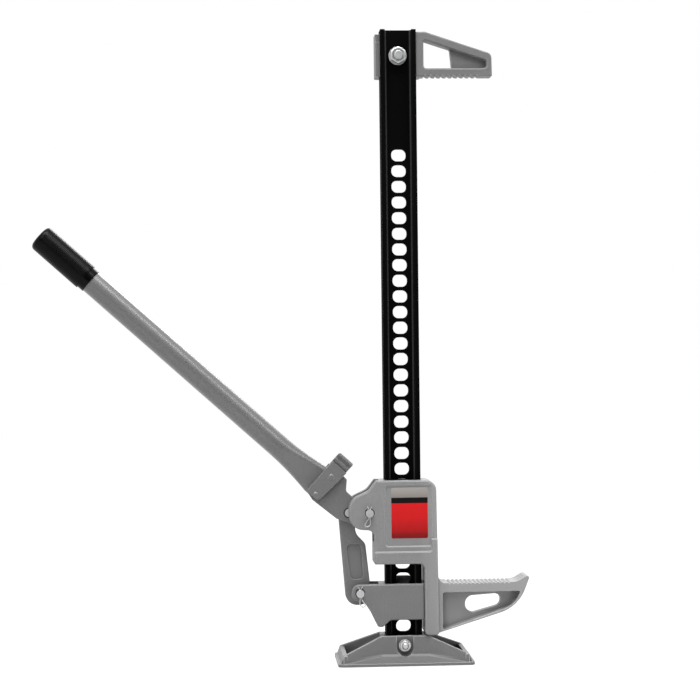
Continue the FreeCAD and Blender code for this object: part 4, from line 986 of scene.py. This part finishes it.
def knurl_tree():
    """Blunt teeth on a grid that is rolled round local X."""
    tree, given, outputs = new_tree("knurl", [
        ("Radius", "NodeSocketFloat"), ("Middle", "NodeSocketFloat"), ("Length", "NodeSocketFloat"),
        ("Sweep", "NodeSocketFloat"), ("Rings", "NodeSocketInt"), ("Ribs", "NodeSocketInt"),
        ("Tooth Width", "NodeSocketFloat"), ("Tooth Height", "NodeSocketFloat"),
    ])
    ask = given.outputs
    grid = tree.nodes.new("GeometryNodeMeshGrid")
    sizes = {"Length": "Size X", "Sweep": "Size Y", "Rings": "Vertices X", "Ribs": "Vertices Y"}
    for source, target in sizes.items():
        tree.links.new(ask[source], grid.inputs[target])
    place = tree.nodes.new("GeometryNodeInputPosition")
    split = tree.nodes.new("ShaderNodeSeparateXYZ")
    tree.links.new(place.outputs["Position"], split.inputs["Vector"])
    sine = calculate(tree, "SINE", split.outputs["Y"])
    cosine = calculate(tree, "COSINE", split.outputs["Y"])
    outward = tree.nodes.new("ShaderNodeCombineXYZ")
    tree.links.new(cosine, outward.inputs["Y"])
    tree.links.new(sine, outward.inputs["Z"])
    rolled = tree.nodes.new("ShaderNodeCombineXYZ")
    tree.links.new(calculate(tree, "ADD", split.outputs["X"], ask["Middle"]), rolled.inputs["X"])
    tree.links.new(calculate(tree, "MULTIPLY", cosine, ask["Radius"]), rolled.inputs["Y"])
    tree.links.new(calculate(tree, "MULTIPLY", sine, ask["Radius"]), rolled.inputs["Z"])
    keep = tree.nodes.new("GeometryNodeCaptureAttribute")
    keep.capture_items.new("VECTOR", "outward")
    tree.links.new(grid.outputs["Mesh"], keep.inputs["Geometry"])
    tree.links.new(outward.outputs["Vector"], keep.inputs["outward"])
    roll = tree.nodes.new("GeometryNodeSetPosition")
    tree.links.new(keep.outputs["Geometry"], roll.inputs["Geometry"])
    tree.links.new(rolled.outputs["Vector"], roll.inputs["Position"])
    stand = tree.nodes.new("FunctionNodeAlignRotationToVector")
    stand.axis = "Z"
    tree.links.new(keep.outputs["outward"], stand.inputs["Vector"])
    tooth = tree.nodes.new("GeometryNodeMeshCone")
    tooth.inputs["Vertices"].default_value = TOOTH_SIDES
    tree.links.new(calculate(tree, "MULTIPLY", ask["Tooth Width"], TOOTH_FOOT), tooth.inputs["Radius Bottom"])
    tree.links.new(calculate(tree, "MULTIPLY", ask["Tooth Width"], TOOTH_CROWN), tooth.inputs["Radius Top"])
    tree.links.new(ask["Tooth Height"], tooth.inputs["Depth"])
    stamp = tree.nodes.new("GeometryNodeInstanceOnPoints")
    tree.links.new(roll.outputs["Geometry"], stamp.inputs["Points"])
    tree.links.new(tooth.outputs["Mesh"], stamp.inputs["Instance"])
    tree.links.new(stand.outputs["Rotation"], stamp.inputs["Rotation"])
    finish_tree(tree, stamp.outputs["Instances"], outputs, FINISHES["grip_black"])
    return tree


KNURL = knurl_tree()
print("knurl tree of", len(KNURL.nodes), "nodes")

# %% [markdown]
# The sleeve's profile runs from the middle of its closed end, over the rounded rim and the sunk barrel, to
# the collar at its mouth, and back through the bore. The knurl fills the sunk barrel up to the full radius.

# %% The grip, turned and knurled
KNURL_PITCH = 1.9 * MM
KNURL_HEIGHT = 0.18 * MM
KNURL_SINK = 0.1
KNURL_MARGIN = 8.0 * MM
KNURL_TO_COLLAR = 2.0 * MM
COLLAR_RADIUS = 16.3 * MM
COLLAR_LENGTH = 9.0 * MM
END_ROUND = 6.0 * MM
LIP_ROUND = 0.8 * MM
SLIP_FIT = 0.06 * MM


def rounded_end(x, radius, corner, outward, steps=8):
    """Stations from the end face of a bar round its corner to its side; outward is the end's direction."""
    angles = [math.pi / 2 * k / steps for k in range(steps + 1)]
    return [(x - outward * corner * (1 - math.cos(a)), radius - corner * (1 - math.sin(a))) for a in angles]


def make_grip():
    shoulder = GRIP_MOUTH - COLLAR_LENGTH
    barrel = GRIP_RADIUS - KNURL_HEIGHT
    first, last = GRIP_END + KNURL_MARGIN, shoulder - KNURL_TO_COLLAR
    bore = TUBE_RADIUS + SLIP_FIT
    floor = TUBE_END - SLIP_FIT
    stations = [(GRIP_END, 0.0)]
    stations += rounded_end(GRIP_END, GRIP_RADIUS, END_ROUND, -1)
    stations += [(first, GRIP_RADIUS), (first + KNURL_HEIGHT, barrel)]
    stations += [(last, barrel), (last + KNURL_HEIGHT, GRIP_RADIUS)]
    stations += rounded_end(shoulder, GRIP_RADIUS, LIP_ROUND, 1)[::-1]
    stations += [(shoulder, COLLAR_RADIUS)]
    stations += rounded_end(GRIP_MOUTH, COLLAR_RADIUS, LIP_ROUND, 1)[::-1]
    stations += [(GRIP_MOUTH, bore), (floor, bore), (floor, 0.0)]
    length = last - first - KNURL_PITCH
    ribs = round(2 * math.pi * barrel / KNURL_PITCH)
    knurl = run_tree(KNURL, {
        "Radius": barrel - KNURL_HEIGHT * KNURL_SINK,
        "Middle": (first + last) / 2,
        "Length": length,
        "Sweep": 2 * math.pi * (ribs - 1) / ribs,
        "Rings": round(length / KNURL_PITCH) + 1,
        "Ribs": ribs,
        "Tooth Width": KNURL_PITCH,
        "Tooth Height": KNURL_HEIGHT,
    })
    mesh = joined(turned(stations), knurl)
    mesh.transform(HANDLE_FRAME)
    settle("knurled_grip", mesh, "handle_grip")


make_grip()

# %% [markdown]
# ## Springs and split pins
# A coil spring and a split pin are both one round wire along a path, so one tree of nodes makes them:
# it takes the path as a row of points, bends a smooth curve to them, and sweeps a circle along it.

# %% A round wire along a path, as a tree of nodes
WIRE_AROUND = 10
WIRE_STEPS = 4


def wire_tree(material):
    """A round wire along the edges of a mesh, which are its path."""
    tree, given, outputs = new_tree("wire", [
        ("Diameter", "NodeSocketFloat"), ("Around", "NodeSocketInt"), ("Steps", "NodeSocketInt"),
    ])
    ask = given.outputs
    route = tree.nodes.new("GeometryNodeMeshToCurve")
    bend = tree.nodes.new("GeometryNodeCurveSplineType")
    bend.spline_type = "NURBS"
    divide = tree.nodes.new("GeometryNodeSetSplineResolution")
    section = tree.nodes.new("GeometryNodeCurvePrimitiveCircle")
    sweep = tree.nodes.new("GeometryNodeCurveToMesh")
    sweep.inputs["Fill Caps"].default_value = True
    tree.links.new(ask["Geometry"], route.inputs["Mesh"])
    tree.links.new(route.outputs["Curve"], bend.inputs["Curve"])
    tree.links.new(bend.outputs["Curve"], divide.inputs["Geometry"])
    tree.links.new(ask["Steps"], divide.inputs["Resolution"])
    tree.links.new(ask["Around"], section.inputs["Resolution"])
    tree.links.new(calculate(tree, "MULTIPLY", ask["Diameter"], 0.5), section.inputs["Radius"])
    tree.links.new(divide.outputs["Geometry"], sweep.inputs["Curve"])
    tree.links.new(section.outputs["Curve"], sweep.inputs["Profile Curve"])
    finish_tree(tree, sweep.outputs["Mesh"], outputs, material)
    return tree


def swept(points, wire, material):
    """A round wire along a smooth curve; the ends are given three times, so that the curve reaches them."""
    points = points[:1] * 2 + points + points[-1:] * 2
    route = bpy.data.meshes.new("route")
    route.from_pydata(points, [(k, k + 1) for k in range(len(points) - 1)], [])
    values = {"Diameter": wire, "Around": WIRE_AROUND, "Steps": WIRE_STEPS}
    return merged(run_tree(wire_tree(material), values, route))


print("wire of", WIRE_AROUND, "sides")

# %% [markdown]
# A return spring pushes each climbing pin into the bar. Its ends are closed: the last turn lies flat against
# the next.

# %% The two return springs
SPRING_WIRE = 2.0 * MM
SPRING_TURNS = 6.5
CLOSED_TURNS = 1.1
STEPS_PER_TURN = 16


def make_spring(solid):
    """A closed-end coil on its pin."""
    low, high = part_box(solid)
    centre = (low + high) / 2
    coil = (high.x - low.x - SPRING_WIRE) / 2
    start, length = low.y + SPRING_WIRE / 2, high.y - low.y - SPRING_WIRE
    closed = SPRING_WIRE * CLOSED_TURNS
    pitch = (length - 2 * closed) / (SPRING_TURNS - 2 * CLOSED_TURNS)
    points = []
    for k in range(int(SPRING_TURNS * STEPS_PER_TURN) + 1):
        turn = k / STEPS_PER_TURN
        rise = min(turn, CLOSED_TURNS) * SPRING_WIRE
        rise += min(max(turn - CLOSED_TURNS, 0), SPRING_TURNS - 2 * CLOSED_TURNS) * pitch
        rise += max(turn - (SPRING_TURNS - CLOSED_TURNS), 0) * SPRING_WIRE
        angle = 2 * math.pi * turn
        points.append((centre.x + coil * math.cos(angle), start + rise, centre.z + coil * math.sin(angle)))
    coiled = settle(f"{solid}_coil", swept(points, SPRING_WIRE, FINISHES[SLOT_OF[solid]]), solid)
    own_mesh(coiled)


make_spring("upper_pin_spring")
make_spring("lower_pin_spring")

# %% [markdown]
# A split pin is one wire bent back on itself: two legs through the hole, an eye below and splayed tips above.
# Half the path is given, from a tip to the eye, as shares of the room that the solid takes up. Its mirror
# image is the other half, and the eye leans a little to one side, as a pin that was bent by hand does.

# %% The two split pins
COTTER_WIRE = 1.2 * MM
COTTER_LEAN = 0.3
HOLE_SHARE = 0.66
LEG_GAP = 0.52
TIP_SPLAY, SPLAY_START = 0.85, 1.6
WITHIN_HOLE, PAST_HOLE = 0.8, 1.2
EYE_SHOULDER, EYE_TOP, EYE_FOOT = 0.9, 0.8, 1.1


def make_cotter(solid, pin, lean):
    low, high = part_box(solid)
    pin_low, pin_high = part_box(pin)
    middle = (low + high) / 2
    bore = Vector((middle.x, middle.y, (pin_low.z + pin_high.z) / 2))
    hole = (pin_high.z - pin_low.z) / 2 * HOLE_SHARE
    leg = COTTER_WIRE * LEG_GAP
    widest = (high.x - low.x) / 2 - COTTER_WIRE / 2
    foot, top = low.z - bore.z + COTTER_WIRE / 2, high.z - bore.z - COTTER_WIRE / 2
    right = [
        (widest * TIP_SPLAY, top),
        (leg * SPLAY_START, hole * PAST_HOLE),
        (leg, hole * WITHIN_HOLE),
        (leg, -hole * WITHIN_HOLE),
        (leg, -hole * PAST_HOLE),
        (widest * EYE_SHOULDER, foot * EYE_TOP),
        (widest, foot),
    ]
    left = [(-across, height) for across, height in reversed(right)]
    points = []
    for across, height in right + [(0, foot * EYE_FOOT)] + left:
        below = max(-height - hole, 0.0)
        points.append(bore + Vector((across + lean * below, 0, height)))
    settle(f"{solid}_wire", swept(points, COTTER_WIRE, FINISHES[SLOT_OF[solid]]), solid)


make_cotter("handle_pivot_cotter", "handle_pivot_pin", -COTTER_LEAN)
make_cotter("link_foot_cotter", "link_foot_pin", COTTER_LEAN)

# %% [markdown]
# ## Bolts and nuts
# Nuts and bolt heads have their corners turned off at thirty degrees. A cone could be cut from a hexagon,
# but it is enough to move each point of the rim back by how far it lies outside the round face.

# %% Chamfered hexagons
HEX_AROUND = 96
CORNER_TURN = math.tan(math.radians(30))
FACE_SHARE = 0.95
NUT_LEAD = 0.4 * MM


def hex_rim(across, end, inward):
    """The rim of a hexagon at one end, set back where its corners stand out past the round face."""
    rim = []
    for k in range(HEX_AROUND):
        angle = 2 * math.pi * k / HEX_AROUND
        from_flat = (angle + math.pi / 6) % (math.pi / 3) - math.pi / 6
        radius = across / 2 / math.cos(from_flat)
        x = end + inward * (radius - across / 2 * FACE_SHARE) * CORNER_TURN
        rim.append((x, radius * math.cos(angle), radius * math.sin(angle)))
    return rim


def hexagon(across, length, bore):
    """A hexagon along local X with turned corners; with a bore, a nut."""
    face = across / 2 * FACE_SHARE
    rings = [circle(0.0, face, HEX_AROUND), hex_rim(across, 0.0, 1)]
    rings += [hex_rim(across, length, -1), circle(length, face, HEX_AROUND)]
    if not bore:
        return skin([tip(0.0)] + rings + [tip(length)])
    inner = [circle(length, bore + NUT_LEAD, HEX_AROUND), circle(length - NUT_LEAD, bore, HEX_AROUND)]
    inner += [circle(NUT_LEAD, bore, HEX_AROUND), circle(0.0, bore + NUT_LEAD, HEX_AROUND)]
    return skin(rings + inner + rings[:1])


print("hexagons of", HEX_AROUND, "points")

# %% [markdown]
# The bolt ends carry a thread. It is a helix: the radius falls and rises once in each pitch, and starts later
# all round the turn. Drawn as one skin over rings, the thread has no seams to close.

# %% Threaded rods
THREAD_DEPTH = 0.55
END_TAPER = 0.8


def threaded_rod(radius, plain, length, pitch, around=48, rows=12):
    """A rod along local X, plain first and threaded after, with a tapered end."""
    depth = pitch * THREAD_DEPTH
    rings = [tip(0.0), circle(0.0, radius, around)]
    count = int(rows * (length - plain) / pitch)
    for row in range(count + 1):
        x = plain + (length - plain) * row / count
        taper = max(0.0, x - (length - pitch)) * END_TAPER
        ring = []
        for k in range(around):
            angle = 2 * math.pi * k / around
            phase = ((x - plain) / pitch - k / around) % 1.0
            groove = depth * (1 - abs(2 * phase - 1)) if row else 0.0
            reduced = radius - max(groove, taper)
            ring.append((x, reduced * math.cos(angle), reduced * math.sin(angle)))
        rings.append(ring)
    return skin(rings + [tip(length)])


print("threads", THREAD_DEPTH, "of a pitch deep")

# %% [markdown]
# One bolt holds the bar in the foot, the other holds the jaw. Their heads are behind and their nuts in front.
# A nut is a closed ring, so its first ring of points comes round again as the last, and the two are merged.

# %% The bolt through the foot and the bolt through the jaw
HEAD_SHARE = 0.65
PLAIN_SHARE = 0.5
FASTENER_SHARP_ABOVE = 25.0


def towards_viewer(y, z):
    """Local X towards the viewer, from a point on the bar's middle."""
    return Matrix.Translation((0, y, z)) @ Matrix.Rotation(-math.pi / 2, 4, "Z")


def make_fastener(name, dia, pitch):
    bolt_low, bolt_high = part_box(f"{name}_bolt")
    nut_low, nut_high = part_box(f"{name}_nut")
    z = (bolt_low.z + bolt_high.z) / 2
    across = nut_high.z - nut_low.z
    head = dia * HEAD_SHARE
    length = bolt_high.y - bolt_low.y - head
    rod = threaded_rod(dia / 2, length * PLAIN_SHARE, length, pitch)
    rod.transform(towards_viewer(bolt_high.y - head, z))
    cap = hexagon(across, head, 0.0)
    cap.transform(towards_viewer(bolt_high.y, z))
    settle(f"{name}_bolt_threaded", joined(rod, cap), f"{name}_bolt", FASTENER_SHARP_ABOVE)
    nut = merged(hexagon(across, nut_high.y - nut_low.y, dia / 2 + SLIP_FIT))
    nut.transform(towards_viewer(nut_high.y, z))
    settle(f"{name}_nut_chamfered", nut, f"{name}_nut", FASTENER_SHARP_ABOVE)


make_fastener("base", dia=8 * MM, pitch=1.25 * MM)
make_fastener("clamp", dia=12 * MM, pitch=1.75 * MM)

# %% [markdown]
# ## The sticker
# A glossy sticker sits in the sunk panel of the large runner. It carries plain bands of colour:
# a silver head, a black strip, and a red field that darkens towards its foot.
# A colour ramp over the height prints them, without an image file.

# %% The sticker's print
STICKER_LOW, STICKER_HIGH = 163.0 * MM, 229.6 * MM
STICKER_ROUGHNESS = (0.3, 0.33)
STICKER_WRINKLES, WRINKLE_DEPTH = 240.0, 0.004 * MM
STICKER_RED = (0.58, 0.013, 0.015)
BANDS = [
    # share of the height from the foot, colour
    (0.0, (0.2, 0.008, 0.009)),
    (0.08, (0.24, 0.009, 0.01)),
    (0.13, (0.38, 0.01, 0.011)),
    (0.4, STICKER_RED),
    (0.69, (0.64, 0.014, 0.016)),
    (0.695, (0.004, 0.004, 0.004)),
    (0.80, (0.005, 0.005, 0.005)),
    (0.805, (0.25, 0.23, 0.215)),
    (1.0, (0.38, 0.355, 0.335)),
]


def sticker_print():
    material, tree, shader = new_finish(
        "sticker_print", STICKER_RED, metallic=0.0, roughness=0.3, specular=0.12
    )
    height = spread(tree, object_axes(tree)["Z"], 0.0, 1.0, STICKER_LOW, STICKER_HIGH)
    bands = tree.nodes.new("ShaderNodeValToRGB")
    ramp = bands.color_ramp
    for share, _ in BANDS[1:-1]:
        ramp.elements.new(share)
    for element, (share, colour) in zip(ramp.elements, BANDS):
        element.position = share
        element.color = (*colour, 1.0)
    tree.links.new(height, bands.inputs["Fac"])
    tree.links.new(bands.outputs["Color"], shader.inputs["Base Color"])
    wrinkle = object_noise(tree, STICKER_WRINKLES, detail=2.0)
    tree.links.new(spread(tree, wrinkle, *STICKER_ROUGHNESS), shader.inputs["Roughness"])
    bumped(tree, shader, None, [(wrinkle, WRINKLE_DEPTH)])
    return material


STICKER_FINISH = sticker_print()
print("sticker print with", len(BANDS), "stops")

# %% [markdown]
# The sticker itself is a thin closed plate with rounded corners: two outlines, front and back, with a middle
# point each. A single sheet would do for the render, but a closed plate is sound as a mesh too.

# %% The sticker's plate
PANEL_FACE = -21.4 * MM
STICKER_LEFT, STICKER_RIGHT = -16.1 * MM, 31.8 * MM
STICKER_CORNER = 2.2 * MM
STICKER_THICKNESS = 0.15 * MM
CORNER_STEPS = 6
QUARTERS = ((1, 1), (-1, 1), (-1, -1), (1, -1))


def sticker_outline(y):
    """Four rounded corners, one after the other; each starts a quarter turn later."""
    middle_x, middle_z = (STICKER_LEFT + STICKER_RIGHT) / 2, (STICKER_LOW + STICKER_HIGH) / 2
    reach_x = (STICKER_RIGHT - STICKER_LEFT) / 2 - STICKER_CORNER
    reach_z = (STICKER_HIGH - STICKER_LOW) / 2 - STICKER_CORNER
    points = []
    for quarter, (side_x, side_z) in enumerate(QUARTERS):
        for k in range(CORNER_STEPS):
            angle = math.pi / 2 * (quarter + k / (CORNER_STEPS - 1))
            x = middle_x + side_x * reach_x + STICKER_CORNER * math.cos(angle)
            z = middle_z + side_z * reach_z + STICKER_CORNER * math.sin(angle)
            points.append((x, y, z))
    return points


def make_sticker():
    back = sticker_outline(PANEL_FACE)
    front = sticker_outline(PANEL_FACE - STICKER_THICKNESS)
    mesh = skin([middle_of(back), back, front, middle_of(front)])
    piece = show("sticker", mesh, STICKER_FINISH)
    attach(piece, "large_runner")


make_sticker()
